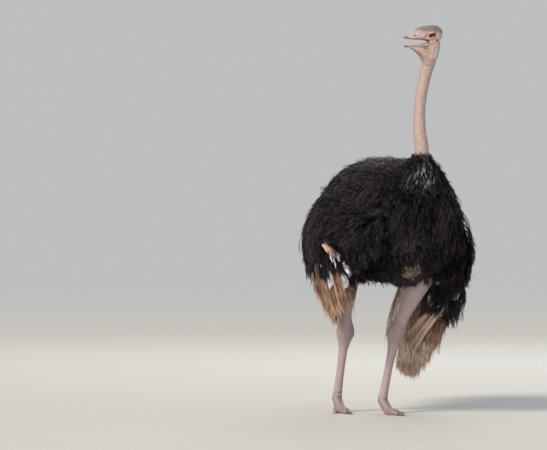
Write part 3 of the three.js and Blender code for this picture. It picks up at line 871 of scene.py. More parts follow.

# %% [markdown]
# ## Eyes
# An ostrich's eye is the size of a billiard ball, nearly all of it hidden by the lids. A sphere is
# added at its real size. Its pole is turned outwards, and the cornea is raised from it as a low
# dome. One number at each corner, the angle from the pupil, draws the pupil and iris. A second draws
# a bluish white crescent low at the rear, partly the eye's white and partly a painted reflection.

# %% Eyeballs
PUPIL, IRIS, CORNEA_RISE = math.radians(21), math.radians(44), 0.9
gaze = {side: Vector(0.18 * ahead + SIGN[side] * to_left).normalized() for side in SIDES}


def eyeball(side):
    choose(skin)
    turn = gaze[side].to_track_quat("Z", "Y").to_euler()
    bpy.ops.mesh.primitive_uv_sphere_add(
        segments=64, ring_count=48, radius=(EYE_RADIUS - 0.3) * MM, location=eye_at[side], rotation=turn)
    ball = bpy.context.object
    bpy.ops.object.transform_apply(location=True, rotation=True, scale=True)
    ball.name = "eyeball_" + side
    ray = corners(ball) - eye_at[side]
    angle = np.arccos(np.clip(ray @ np.array(gaze[side]) / np.linalg.norm(ray, axis=1), -1, 1))
    ray *= (1 + CORNEA_RISE / EYE_RADIUS * smooth_step(angle, IRIS * 1.05, 0.2))[:, None]
    move_corners(ball, eye_at[side] + ray)
    mark(ball, "from_pupil", angle)
    local = in_head(corners(ball))
    # A bluish white crescent low and behind: partly the eye's white, partly a painted reflection.
    mark(ball, "white", smooth_step(local[:, 2], -6.5, -9.5) * smooth_step(local[:, 0], 4, -6))
    shade_smooth(ball)
    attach(ball, "root")
    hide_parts("eye_" + side)
    return ball


eye_finish, tree, shader = new_material("wet dark eye")
# Black pupil, brown iris with fine rays, a dark rim, and a bluish white crescent at the rear of the
# lower lid: partly the eye's white, partly a painted reflection of the pale sky.
angle = node(tree, "ShaderNodeAttribute", attribute_name="from_pupil")
white = node(tree, "ShaderNodeAttribute", attribute_name="white")
rings = node(tree, "ShaderNodeValToRGB", {"Fac": angle.outputs["Fac"]})
stops = (
    (0.0, "#020202"), (PUPIL, "#030202"), (PUPIL + 0.04, "#2a1710"),
    (IRIS - 0.12, "#3d2416"), (IRIS, "#0d0807"), (0.95, "#1d1614"))
rings.color_ramp.elements[0].color = linear(stops[0][1])
rings.color_ramp.elements[1].position = stops[-1][0]
rings.color_ramp.elements[1].color = linear(stops[-1][1])
for position, hex_code in stops[1:-1]:
    rings.color_ramp.elements.new(position).color = linear(hex_code)
whitened = node(tree, "ShaderNodeMix", {
    "Factor": white.outputs["Fac"], "A": rings.outputs["Color"], "B": linear("#c9d2dc")}, data_type="RGBA")
rays = mottled(tree, whitened.outputs["Result"], 1.2 * MM, 0.75, 1.2)
tree.links.new(rays, shader.inputs["Base Color"])
shader.inputs["Roughness"].default_value = 0.25
shader.inputs["Specular IOR Level"].default_value = 0.2
shader.inputs["Coat Weight"].default_value = 0.6
shader.inputs["Coat Roughness"].default_value = 0.03
for side in SIDES:
    eyeball(side).data.materials.append(eye_finish)
print("eyeballs", 2 * EYE_RADIUS, "mm across")

# %% [markdown]
# ## Scutes
# A row of broad horny plates overlaps like roof tiles down the front of each shin and along the top
# of each toe. One plate is a small curved grid. Each grid is dropped onto the skin by casting rays
# at it, with its lower edge lifted and its other edges sunk in.

# %% Plates down each shin and toe
skin_tree = surface_tree(skin)
ankle = {"left": np.array((0.0094, -0.004, 0.084)), "right": np.array((-0.1706, 0.252, 0.084))}
PLATE_STEP, PLATE_ROWS, PLATE_COLUMNS = 10.5 * MM, 4, 9


def eased(values, lengths, along):
    """A path read at a length, with its corners rounded off."""
    window = along + np.linspace(-14, 14, 9) * MM
    return np.array([np.interp(window, lengths, values[:, k]).mean() for k in range(3)])


def plate_row(path, outward):
    """Grids of points for overlapping plates along a path inside the limb."""
    path, outward = np.array(path, float), np.array(outward, float)
    lengths = np.concatenate(((0,), np.cumsum(np.linalg.norm(np.diff(path, axis=0), axis=1))))
    plates = []
    for start in np.arange(0, lengths[-1] - PLATE_STEP, PLATE_STEP):
        plate = np.zeros((PLATE_ROWS, PLATE_COLUMNS, 3))
        width = 1 - 0.35 * start / lengths[-1]
        for row, column in np.ndindex(PLATE_ROWS, PLATE_COLUMNS):
            sideways = 2 * column / (PLATE_COLUMNS - 1) - 1
            along = start + PLATE_STEP * (1.3 * row / (PLATE_ROWS - 1) - 0.45 * sideways**2)
            spot = eased(path, lengths, along)
            onward = unit(eased(path, lengths, along + 3 * MM) - spot)
            out = unit(tangent(eased(outward, lengths, along), onward))
            angle = sideways * 0.95 * width
            way = out * math.cos(angle) + np.cross(onward, out) * math.sin(angle)
            hit, hit_out, _, _ = skin_tree.ray_cast(Vector(spot + way * 60 * MM), Vector(-way))
            edge = abs(sideways) ** 3
            lift = (0.1 + 1.3 * row / (PLATE_ROWS - 1)) * (1 - edge) - 0.5 * edge
            plate[row, column] = np.array(hit) + np.array(hit_out) * lift * MM
        plates.append(plate)
    return plates


def plates_mesh(name, plates):
    """One mesh of all the plates, each a curved grid with a turned-in lower edge."""
    places, faces = [], []
    for plate in plates:
        base = sum(len(p) for p in places)
        tucked = plate[-1] + (plate[-2] - plate[-1]) * 0.15 - 2.2 * MM * plate_out(plate)
        rows = np.concatenate((plate, tucked[None]))
        places.append(rows.reshape(-1, 3))
        for row in range(len(rows) - 1):
            for column in range(PLATE_COLUMNS - 1):
                first = base + row * PLATE_COLUMNS + column
                faces.append((first, first + PLATE_COLUMNS, first + PLATE_COLUMNS + 1, first + 1))
    mesh = bpy.data.meshes.new(name)
    mesh.from_pydata(np.concatenate(places).tolist(), [], faces)
    made = bpy.data.objects.new(name, mesh)
    bpy.context.collection.objects.link(made)
    shade_smooth(made)
    return made


def plate_out(plate):
    """The way a plate faces, from its middle row and middle column."""
    row, column = plate[PLATE_ROWS // 2], plate[:, PLATE_COLUMNS // 2]
    return unit(np.cross(column[-1] - column[0], row[-1] - row[0]))


plates = []
for side in SIDES:
    toe_end = middle("nail_" + side)
    toe_way = unit((toe_end - ankle[side]) * (1, 1, 0))
    toe_top = toe_end + np.array((0, 0, -2 * MM)) - toe_way * 22 * MM
    shin_top = hock[side] + (ankle[side] - hock[side]) * 0.30
    bend_at = ankle[side] + toe_way * 14 * MM + np.array((0, 0, -6 * MM))
    forward_up = unit(toe_way + np.array((0, 0, 0.9)))
    plates += plate_row(
        [shin_top, ankle[side] + np.array((0, 0, 40 * MM)), bend_at, toe_top],
        [toe_way, toe_way, forward_up, (0, 0, 1)])
scutes = plates_mesh("scutes", plates)
scute_finish, tree, shader = new_material("horny shin plates")
colour = mottled(tree, layered(tree, "#ab9694", [("foot", "#927f7d")]), 12 * MM, 0.82, 1.1)
tree.links.new(colour, shader.inputs["Base Color"])
shader.inputs["Roughness"].default_value = 0.5
bumped(tree, shader, (grain(tree, 2.5 * MM), 0.4 * MM, 0.5))
mark(scutes, "foot", smooth_step(corners(scutes)[:, 2], 0.13, 0.07))
scutes.data.materials.append(scute_finish)
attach(scutes, "root")
print(len(plates), "plates on shins and toes")

# %% [markdown]
# ## How the coat is made
# An ostrich's plumes have no hooks to hold their barbs together, so each one is a loose, shaggy lock.
# Every plume here is a bunch of thin tapering barbs that leave a shaft. The shaft is walked over the
# skin step by step: it starts at its root, follows the lie of the coat, and rises to the coat's
# depth. Where the body turns under, it hangs free. All plumes of a region are one joined mesh.

# %% Roots, and the way the plumes lie
UNIT_DOWN, UNIT_BACK = np.array((0.0, 0.0, -1.0)), np.array((0.0, 1.0, 0.0))


def turned(vectors, normals, angles):
    """Vectors turned about their normals."""
    c, s = np.cos(angles)[:, None], np.sin(angles)[:, None]
    return vectors * c + np.cross(normals, vectors) * s


def waves(points, size, seed):
    """A smooth wandering value from -1 to 1, with swells of about this size."""
    phases = np.random.default_rng(seed).uniform(0, 2 * math.pi, (4, 3))
    turns = np.random.default_rng(seed + 1).normal(size=(4, 3))
    turns = unit(turns) * (2 * math.pi / size) * np.array((0.7, 1.0, 1.3, 1.7))[:, None]
    return sum(np.sin(points @ turn + phase[0]) for turn, phase in zip(turns, phases)) / 2.6


def surface(thing):
    """A mesh's triangles: corners, areas and normals, and a tree to find the nearest place."""
    thing.data.calc_loop_triangles()
    flat = np.empty(len(thing.data.loop_triangles) * 3, np.int32)
    thing.data.loop_triangles.foreach_get("vertices", flat)
    places = corners(thing)
    triangles = places[flat.reshape(-1, 3)]
    cross = np.cross(triangles[:, 1] - triangles[:, 0], triangles[:, 2] - triangles[:, 0])
    tree = BVHTree.FromPolygons(places.tolist(), flat.reshape(-1, 3).tolist())
    return triangles, np.linalg.norm(cross, axis=1) / 2, unit(cross), tree


def scattered(form, wanted, density):
    """Root places on a surface, thicker where density is higher."""
    triangles, areas, normals, _ = form
    share = areas * density(triangles.mean(1), normals)
    picked = chance.choice(len(areas), wanted, p=share / share.sum())
    a, b = chance.random((2, wanted, 1))
    flip = a + b > 1
    a, b = np.where(flip, 1 - a, a), np.where(flip, 1 - b, b)
    t = triangles[picked]
    return t[:, 0] + a * (t[:, 1] - t[:, 0]) + b * (t[:, 2] - t[:, 0]), normals[picked]


def body_lie(points, normals):
    """Back along the top, then down and back over the flanks, and straight down the breast."""
    on_top = smooth_step(normals[:, 2], 0.35, 0.85)
    low = smooth_step(points[:, 2], 1.25, 0.85)
    breast = smooth_step(normals[:, 1], -0.25, -0.7)
    back = 0.62 * (1 - low) + 0.22 * low
    back = back * (1 - breast) + on_top
    down = (1 - on_top) * (0.7 + 0.4 * breast) + 0.08
    way = back[:, None] * UNIT_BACK + down[:, None] * UNIT_DOWN
    return tangent(way, normals)


# %% Shafts walked over the form
def nearest(tree, places):
    """The nearest place and normal on a form, for many places."""
    found = [tree.find_nearest(p) for p in places.tolist()]
    return np.array([tuple(f[0]) for f in found]), np.array([tuple(f[1]) for f in found])


def walked(tree, roots, normals, lie, length, lift, steps=6, wander=0.2, droop=0.35, hang=0.45):
    """Shafts as rows of points, with the outward direction at each point."""
    count = len(roots)
    shafts, outs = np.empty((2, count, steps + 1, 3))
    foot, out = roots.copy(), normals.copy()
    own_turn = chance.normal(0, wander, count)
    way = turned(lie(foot, out), out, own_turn)
    free = np.zeros(count, bool)
    for k in range(steps + 1):
        height = lift * smooth_step(k / steps, -0.25, 0.55)
        shafts[:, k] = foot + out * height[:, None]
        outs[:, k] = out
        onward = foot + way * (length / steps * np.where(free, hang, 1.0))[:, None]
        spot, spot_out = nearest(tree, onward)
        # Past a rounded edge the next place hangs outside the form; in a crease it lies inside.
        outside = np.sum((onward - spot) * spot_out, 1) > 0
        turning = (np.sum(spot_out * out, 1) < 0.45) & outside
        under = (spot_out[:, 2] < -0.3) & (way[:, 2] < -0.25)
        free |= turning | under | (np.linalg.norm(spot - onward, axis=1) > 60 * MM)
        stay = 1.0 * ~free[:, None]
        foot = onward + stay * (spot - onward)
        out = unit(out + stay * 0.8 * (spot_out - out))
        held = turned(lie(foot, out), out, own_turn)
        hanging = unit(way + droop * UNIT_DOWN)
        way = unit(np.where(free[:, None], hanging, 0.5 * way + 0.5 * held))
    return shafts, outs


# %% Barbs along the shafts, as one mesh
def at_share(rows, share):
    """Rows of points read at a share of their length, and a little past their end."""
    last = rows.shape[1] - 1
    place = share * last
    low = np.clip(place.astype(int), 0, last - 1)
    pick = np.arange(len(rows))[:, None]
    part = (place - low)[..., None]
    return rows[pick, low] * (1 - part) + rows[pick, low + 1] * part


def barbs(
        shafts, outs, count, width, thick, start=(0.0, 0.75), reach=(0.25, 0.5), puff=4 * MM, curl=0.0,
        segments=3):
    """Tapering ribbons that leave each shaft to both sides: corners, faces and what each corner is."""
    plumes = len(shafts)
    along = np.gradient(shafts, axis=1)
    sides = unit(np.cross(unit(along), outs))
    begin = chance.uniform(*start, (plumes, count))
    end = begin + chance.uniform(*reach, (plumes, count))
    hand_of = np.where(np.arange(count) % 2, 1.0, -1.0) * np.ones((plumes, 1))
    fullness = np.sin(math.pi * np.clip(begin * 0.8 + 0.25, 0, 1))
    spread = chance.uniform(0.25, 1.0, (plumes, count)) * width[:, None] * fullness
    rise = chance.uniform(-0.3, 1.0, (plumes, count)) * puff
    bend = chance.normal(0, 1, (plumes, count)) * curl
    tilt = chance.uniform(-0.9, 0.9, (plumes, count))
    places = []
    marks = []
    for k in range(segments + 1):
        t = k / segments
        share = begin + (end - begin) * t
        centre, side, out = (at_share(rows, share) for rows in (shafts, sides, outs))
        offset = hand_of * spread * t**0.8 + bend * t * t
        centre = centre + side * offset[..., None] + out * (rise * t)[..., None]
        half = thick[:, None, None] * (0.6, 1.0, 0.75, 0.45)[min(k, 3)] * (1 if k < segments else 0)
        width_way = side * np.cos(tilt)[..., None] + out * np.sin(tilt)[..., None]
        pair = [centre - width_way * half, centre + width_way * half] if k < segments else [centre]
        places += pair
        marks += [(share, offset / np.maximum(width[:, None], 1e-6))] * len(pair)
    places = np.stack(places, 2)
    per = places.shape[2]
    first = np.arange(plumes * count)[:, None] * per
    quads = np.concatenate([first + np.array((0, 1, 3, 2)) + 2 * k for k in range(segments - 1)])
    tips = first + np.array((per - 3, per - 2, per - 1))
    own = np.repeat(np.arange(plumes), count * per)
    share = np.stack([m[0] for m in marks], 2).reshape(-1)
    off = np.stack([m[1] for m in marks], 2).reshape(-1)
    strand = np.repeat(chance.random(plumes * count), per)
    return {
        "places": places.reshape(-1, 3), "quads": quads, "tips": tips,
        "plume": own, "share": share, "off": off, "strand": strand}


def shaft_ribbons(shafts, outs, thick):
    """A thin shaft down the middle of each plume."""
    bundle = barbs(
        shafts, outs, 1, thick, thick, start=(0.0, 0.001), reach=(0.93, 0.96), puff=0.5 * MM, segments=4)
    bundle["strand"] = np.full(len(bundle["strand"]), 2.0)
    return bundle


PATCH = 0.003  # each plume's own patch on the bake map


def unwrap(roots):
    """The skin unrolled about a long line through the body: round it, and along it."""
    around = np.arctan2(roots[:, 0], roots[:, 2] - 1.1) / (2 * math.pi) + 0.5
    forward = (roots[:, 1] - cad_low.y) / (cad_high.y - cad_low.y)
    return np.stack((0.02 + 0.96 * around, 0.02 + 0.96 * forward), 1)


def kept_in(places):
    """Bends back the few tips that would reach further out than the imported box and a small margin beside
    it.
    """
    side = (cad_high.x - cad_low.x) * 0.02 + 8 * MM
    over = np.maximum(np.abs(places[:, 0]) - (cad_high.x + side - 20 * MM), 0)
    bent = places.copy()
    bent[:, 0] -= np.sign(places[:, 0]) * (over - 20 * MM * (1 - np.exp(-over / (20 * MM))))
    bent[:, 2] = np.maximum(bent[:, 2], 4 * MM)
    return bent


def coat_piece(name, bundles, roots, finish, slot, **marks):
    """One mesh from bundles of barbs, with its marks (one number for each plume) and its bake map."""
    places, quads, tips, base = [], [], [], 0
    for bundle in bundles:
        quads.append(bundle["quads"] + base)
        tips.append(bundle["tips"] + base)
        places.append(bundle["places"])
        base += len(bundle["places"])
    places, quads, tips = kept_in(np.concatenate(places)), np.concatenate(quads), np.concatenate(tips)
    loops = np.concatenate((quads.ravel(), tips.ravel())).astype(np.int32)
    starts = np.concatenate((np.arange(len(quads)) * 4, len(quads) * 4 + np.arange(len(tips)) * 3))
    mesh = bpy.data.meshes.new(name)
    mesh.vertices.add(len(places))
    mesh.vertices.foreach_set("co", places.astype(np.float32).ravel())
    mesh.loops.add(len(loops))
    mesh.loops.foreach_set("vertex_index", loops)
    mesh.polygons.add(len(starts))
    mesh.polygons.foreach_set("loop_start", starts.astype(np.int32))
    mesh.update(calc_edges=True)
    plume = np.concatenate([b["plume"] for b in bundles])
    share = np.concatenate([b["share"] for b in bundles])
    values = {"along": share, "strand": np.concatenate([b["strand"] for b in bundles])}
    values["tint"] = chance.random(len(roots))[plume]
    for label, numbers in marks.items():
        values[label] = numbers[plume]
    off = np.concatenate([b["off"] for b in bundles])
    spot = unwrap(roots)[plume] + PATCH * np.stack((0.5 * np.clip(off, -1, 1), share - 0.5), 1)
    mesh.uv_layers.new(name="OFBake").data.foreach_set("uv", spot[loops].astype(np.float32).ravel())
    made = bpy.data.objects.new(name, mesh)
    bpy.context.collection.objects.link(made)
    shade_smooth(made)
    for label, numbers in values.items():
        mark(made, label, numbers)
    mesh.materials.append(finish)
    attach(made, "root")
    print(name, len(roots), "plumes,", 2 * len(quads) + len(tips), "triangles")
    return made


# %% [markdown]
# ## The black coat
# A cock's body plumes are black and glossy, with brown showing where they are worn, and more brown on
# top of the back as painted sunlit sheen. They are thickest over the back and wings. Roots are scattered
# evenly over the sunk skin, and none stand on the bare legs, hands or neck. One plume in ten stands out,
# because the real outline is ruffled.

# %% One plumage finish, for every colour of plume
def plumage(name, base, layers, tip, rough=0.5, sheen=0.2, gloss=0.5, tips_from=0.45, rooted=0.75):
    """Loose plumes. Layers are (mark, colour) pairs. Barbs differ in tone, and some have a paler tip."""
    made, tree, shader = new_material(name)
    colour = layered(tree, base, layers)
    colour = mottled(tree, colour, 60 * MM, 0.72, 1.3)
    strand = node(tree, "ShaderNodeAttribute", attribute_name="strand").outputs["Fac"]
    tone = node(tree, "ShaderNodeMapRange", {"Value": strand, "To Min": 0.5, "To Max": 1.5})
    colour = node(tree, "ShaderNodeMix", {"Factor": 1.0, "A": colour, "B": tone.outputs["Result"]},
        data_type="RGBA", blend_type="MULTIPLY").outputs["Result"]
    along = node(tree, "ShaderNodeAttribute", attribute_name="along").outputs["Fac"]
    tint = node(tree, "ShaderNodeAttribute", attribute_name="tint").outputs["Fac"]
    # Each plume has a tone of its own, and is darker towards its root, where little light comes.
    own = node(tree, "ShaderNodeMapRange", {"Value": tint, "To Min": 0.7, "To Max": 1.3})
    deep = node(tree, "ShaderNodeMapRange", {"Value": along, "To Min": rooted, "To Max": 1.15})
    both = node(tree, "ShaderNodeMath", {
        0: own.outputs["Result"], 1: deep.outputs["Result"]}, operation="MULTIPLY").outputs["Value"]
    colour = node(tree, "ShaderNodeMix", {"Factor": 1.0, "A": colour, "B": both},
        data_type="RGBA", blend_type="MULTIPLY").outputs["Result"]
    reach = node(tree, "ShaderNodeMath", {0: along, 1: strand}, operation="MULTIPLY").outputs["Value"]
    reach = node(tree, "ShaderNodeMath", {0: reach, 1: tint}, operation="MULTIPLY").outputs["Value"]
    tips = node(tree, "ShaderNodeMapRange", {
        "Value": reach, "From Min": 0.3 * tips_from, "From Max": tips_from})
    last = node(tree, "ShaderNodeMix", {
        "Factor": tips.outputs["Result"], "A": colour, "B": linear(tip)}, data_type="RGBA")
    tree.links.new(last.outputs["Result"], shader.inputs["Base Color"])
    shader.inputs["Roughness"].default_value = rough
    shader.inputs["Specular IOR Level"].default_value = gloss
    shader.inputs["Sheen Weight"].default_value = sheen
    shader.inputs["Sheen Roughness"].default_value = 0.35
    # Fine barbules: bumps a fraction of a millimetre high, too small to model.
    bumped(tree, shader, (grain(tree, 1.0 * MM), 0.4 * MM, 0.4))
    return made


black_finish = plumage(
    "glossy black plumes", "#09080e", [("brown", "#3a3036")], "#4a3f49",
    rough=0.42, sheen=0.0, gloss=0.14, tips_from=0.72, rooted=0.2)

# %% Where the body plumes grow
body_form = surface(skin)


def clothed(points, normals):
    """Where body plumes grow: not on the neck, hands, legs or feet."""
    grows = smooth_step(coat_depth(points), 6 * MM, 14 * MM) * (points[:, 2] < collar_top)
    for side in SIDES:
        grows *= from_line(points, *hand[side]) > 17 * MM
    return grows


def on_tail(points):
    return smooth_step(points[:, 1], 0.47, 0.53) * (np.abs(points[:, 0]) < 0.24)


def swirled_lie(points, normals):
    """The lie of the coat, with the wandering whorls of loose plumes."""
    swirl = 0.32 * waves(points, 0.5, 3) + 0.22 * waves(points, 0.16, 5)
    return turned(body_lie(points, normals), normals, swirl)


def off_hands(shafts, reach):
    """False for a plume that would lie across a bare hand."""
    clear = np.ones(len(shafts), bool)
    for side in SIDES:
        gap = from_line(shafts[:, 1:].reshape(-1, 3), *hand[side]).reshape(len(shafts), -1)
        clear &= gap.min(1) > reach
    return clear


# %% Body plumes
BODY_PLUMES = 14000
roots, normals = scattered(body_form, BODY_PLUMES, lambda p, n: clothed(p, n) * (1 - on_tail(p)))
x, y, z = roots.T
length = chance.uniform(70, 125, BODY_PLUMES) * MM
length *= 1 - 0.45 * smooth_step(z, 1.28, 1.48) * (y < -0.33)
length *= 1 - 0.15 * smooth_step(normals[:, 2], -0.25, -0.8)
lift = coat_depth(roots) * chance.uniform(0.45, 1.0, BODY_PLUMES)
edge_on = smooth_step(normals[:, 2], 0.2, 0.7) + smooth_step(np.abs(normals[:, 0]), 0.8, 1.0)
lift += (chance.random(BODY_PLUMES) < 0.10) * chance.uniform(8, 22, BODY_PLUMES) * MM * (0.4 + 0.6 * edge_on)
shafts, outs = walked(body_form[3], roots, normals, swirled_lie, length, lift, wander=0.18, hang=0.6)
clear = off_hands(shafts, 6 * MM) | (chance.random(BODY_PLUMES) < 0.4)
worn = waves(roots, 0.40, 11) + 0.6 * waves(roots, 0.12, 13) + chance.normal(0, 0.3, BODY_PLUMES)
brown = smooth_step(worn, -0.1, 1.0)
# The upward-facing back gets more brown: painted sunlit sheen, over the worn patches.
brown = np.clip(brown + 0.35 * smooth_step(normals[:, 2], 0.5, 0.9) * (y < 0.3), 0, 1)
region = np.where(normals[:, 2] > 0.55, 4, 2 * (x > 0) + (y > -0.05))
for number, label in enumerate(("right_fore", "right_rear", "left_fore", "left_rear", "back")):
    own = clear & (region == number)
    fluff = barbs(
        shafts[own], outs[own], 11, np.full(own.sum(), 17 * MM), np.full(own.sum(), 1.1 * MM),
        reach=(0.22, 0.45), curl=8 * MM, puff=7 * MM)
    coat_piece("plumes_" + label, [fluff], roots[own], black_finish, "black_plumage", brown=brown[own])

# %% [markdown]
# ## The collar
# Where the bare neck enters the coat stands a ruff of short pointed plumes. In front they are fringed
# with white and buff. They fan out and down, so their tips break the outline on both sides.

# %% Collar plumes
def collared(points, normals):
    height = points[:, 2]
    band = smooth_step(height, 1.33, 1.40) * smooth_step(height, collar_top + 0.030, collar_top - 0.010)
    return band * (points[:, 1] < -0.30)


def collar_lie(points, normals):
    return tangent(UNIT_DOWN + 0.12 * UNIT_BACK + 0 * points, normals)


COLLAR_PLUMES = 1900
roots, normals = scattered(body_form, COLLAR_PLUMES, collared)
length = chance.uniform(32, 62, COLLAR_PLUMES) * MM
lift = chance.uniform(6, 22, COLLAR_PLUMES) * MM * (1 - 0.85 * smooth_step(roots[:, 2], 1.48, collar_top))
shafts, outs = walked(body_form[3], roots, normals, collar_lie, length, lift, steps=5, wander=0.22, droop=0.1)
front = smooth_step(normals @ unit(np.array((-0.10, -1.0, 0.1))), 0.70, 0.97)
white = front * hill(roots[:, 2], 1.475, 0.080)
white = white * (chance.random(COLLAR_PLUMES) < 0.5) * chance.uniform(0.3, 1.0, COLLAR_PLUMES)
brown = chance.uniform(0, 0.6, COLLAR_PLUMES)
fluff = barbs(
    shafts, outs, 8, np.full(COLLAR_PLUMES, 6.5 * MM), np.full(COLLAR_PLUMES, 1.1 * MM),
    reach=(0.3, 0.6), curl=2 * MM)
collar_finish = plumage(
    "collar plumes", "#0b0a0f", [("brown", "#2b262c"), ("white", "#cfccca")], "#4a444a",
    sheen=0.0, gloss=0.16, tips_from=0.8, rooted=0.4)
coat_piece("plumes_collar", [fluff], roots, collar_finish, "collar_plumage", brown=brown, white=white)

# %% [markdown]
# ## Tail and wing plumes
# A cock's tail and wing plumes are long, soft and white, and soon stained tan and rust by dust. They
# hang as curtains. Each is walked over its own solid: a pale shaft, and long soft barbs on both sides.

# %% Pale plumes
pale_finish = plumage(
    "stained white plumes", "#b9987f",
    [("rust", "#8a593d"), ("white", "#dacdc2"), ("dark", "#2c2220")], "#d8bfa4",
    rough=0.6, sheen=0.15, gloss=0.3, tips_from=0.7, rooted=0.8)


def shafts_and_fluff(shafts, outs, count, width, thick, **settings):
    """Long barbs, and the shaft that carries them."""
    many = len(shafts)
    fluff = barbs(shafts, outs, count, np.full(many, width), np.full(many, thick), **settings)
    return [fluff, shaft_ribbons(shafts, outs, np.full(many, thick))]


def curtain_lie(node_name):
    """Along the solid from its top, and gathering towards its tip."""
    solid = corners(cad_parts[node_name])
    top, tip = solid[np.argmax(solid[:, 2])], solid[np.argmin(solid[:, 2])]
    beyond = tip + 0.35 * (tip - top)

    def lie(points, normals):
        return tangent(unit(beyond - points), normals)
    return lie, top, tip


def hung_over(node_name, many, length):
    """Plumes walked over a solid towards its tip. None is much longer than the way there."""
    form = surface(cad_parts[node_name])
    lie, top, tip = curtain_lie(node_name)
    roots, normals = scattered(form, many, lambda p, n: 1 + 0 * p[:, 0])
    down = np.clip((roots - top) @ unit(tip - top) / np.linalg.norm(tip - top), 0, 1)
    longest = (1.02 - down) * np.linalg.norm(tip - top)
    length = np.minimum(chance.uniform(*length, many) * MM, longest + chance.uniform(0, 70, many) * MM)
    lift = chance.uniform(0.5, 6.0, many) * MM
    shafts, outs = walked(
        form[3], roots, normals, lie, length, lift, steps=7, wander=0.16, droop=0.1, hang=0.7)
    return roots, normals, shafts, outs, down


# %% Wing curtains
for side, many in (("left", 620), ("right", 380)):
    node_name = "wing_plumes_" + side
    roots, normals, shafts, outs, down = hung_over(node_name, many, (150, 260))
    patchy = waves(roots, 0.16, 21)
    if side == "left":
        rust = hill(down, 0.34, 0.24) * smooth_step(patchy, -0.7, 0.2) + 0.25 * chance.random(many)
        white = hill(down, 0.60, 0.12) * 0.7 + 0.35 * (chance.random(many) < 0.35)
        dark = 0.8 * smooth_step(down, 0.26, 0.08)
    else:
        rust = 0.40 + 0.35 * patchy
        white = 0.15 * (chance.random(many) < 0.3)
        dark = 0.35 * smooth_step(patchy, 0.2, 0.8)
    bundles = shafts_and_fluff(
        shafts, outs, 16, 13 * MM, 1.1 * MM, start=(0.0, 0.7), reach=(0.3, 0.55), curl=5 * MM, puff=3 * MM)
    made = coat_piece(
        "plumes_wing_curtain_" + side, bundles, roots, pale_finish, "wing_plumes",
        rust=np.clip(rust, 0, 1), white=np.clip(white, 0, 1), dark=dark)
    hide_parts(node_name)

# %% Tail
TAIL_PLUMES = 900
roots, normals = scattered(body_form, TAIL_PLUMES, lambda p, n: clothed(p, n) * on_tail(p))
length = chance.uniform(100, 260, TAIL_PLUMES) * MM
lift = chance.uniform(12, 40, TAIL_PLUMES) * MM * (0.3 + 0.7 * smooth_step(roots[:, 2], 0.90, 1.20))
shafts, outs = walked(
    body_form[3], roots, normals, swirled_lie, length, lift, steps=7, wander=0.20, hang=0.8)
bundles = shafts_and_fluff(
    shafts, outs, 16, 15 * MM, 1.25 * MM, start=(0.0, 0.7), reach=(0.3, 0.5), curl=6 * MM)
coat_piece(
    "plumes_tail", bundles, roots, pale_finish, "tail_plumes",
    rust=np.clip(0.35 + 0.5 * waves(roots, 0.2, 31), 0, 1), white=0.4 * chance.random(TAIL_PLUMES),
    dark=smooth_step(roots[:, 2] + chance.normal(0, 0.05, TAIL_PLUMES), 1.10, 1.30) * 0.95)

# %% [markdown]
# ## Thighs
# The rear thigh is clad in short golden-brown plumes down to just above the hock, and a patch of tan
# under-down shows at the belly's edge, in front of the other thigh, darkened with painted shade.

# %% Thigh plumes
THIGH_PLUMES, PATCH_PLUMES = 480, 320
patch_at = np.array((-0.060, -0.545, 0.885))


def on_right_thigh(points, normals):
    near = from_line(points, hip["right"], hock["right"]) < 0.17
    return near * smooth_step(points[:, 2], 0.70, 0.80) * (points[:, 2] < 0.93) * (points[:, 0] < -0.06)


def thigh_lie(points, normals):
    return tangent(unit(hock["right"] - hip["right"]) + 0 * points, normals)


def on_patch(points, normals):
    return smooth_step(np.linalg.norm((points - patch_at) * (1, 0.8, 1.1), axis=1), 0.075, 0.045)


for label, many, density, lie, longest, above, rust, dark in (
        ("thigh", THIGH_PLUMES, on_right_thigh, thigh_lie, (60, 110), (3, 9), 0.45, 0.20),
        # The patch's high dark weight is painted shade on the thigh under the belly.
        ("patch", PATCH_PLUMES, on_patch, swirled_lie, (35, 60), (34, 46), 0.10, 0.80)):
    roots, normals = scattered(body_form, many, density)
    length, lift = chance.uniform(*longest, many) * MM, chance.uniform(*above, many) * MM
    shafts, outs = walked(body_form[3], roots, normals, lie, length, lift, wander=0.12)
    bundles = shafts_and_fluff(shafts, outs, 12, 9 * MM, 1.0 * MM, reach=(0.3, 0.5), curl=3 * MM)
    marks = {"rust": rust + 0.3 * chance.normal(size=many), "dark": dark + 0.2 * chance.normal(size=many)}
    marks = {name: np.clip(value, 0, 1) for name, value in marks.items()}
    coat_piece("plumes_" + label, bundles, roots, pale_finish, "wing_plumes", **marks)

# %% [markdown]
# ## Locks at the wing tips and thighs
# The wings hang loose in this pose, so single plumes show below each bare wing hand: glossy white
# vanes, black locks, tan shafts, and long wisps behind the left leg. Each lock is a short path of
# points in millimetres, and several plumes are spread round it.

# %% Plumes along chosen paths
LOCK_POINTS = 7  # points along each shaft


def along_path(path):
    """A smooth curve through a few points, as evenly spread points."""
    path = np.array(path, float) * MM
    at = np.linspace(0, len(path) - 1, LOCK_POINTS)
    curve = np.stack([np.interp(at, np.arange(len(path)), path[:, k]) for k in range(3)], 1)
    for _ in range(3):
        curve[1:-1] = (curve[:-2] + 2 * curve[1:-1] + curve[2:]) / 4
    return curve


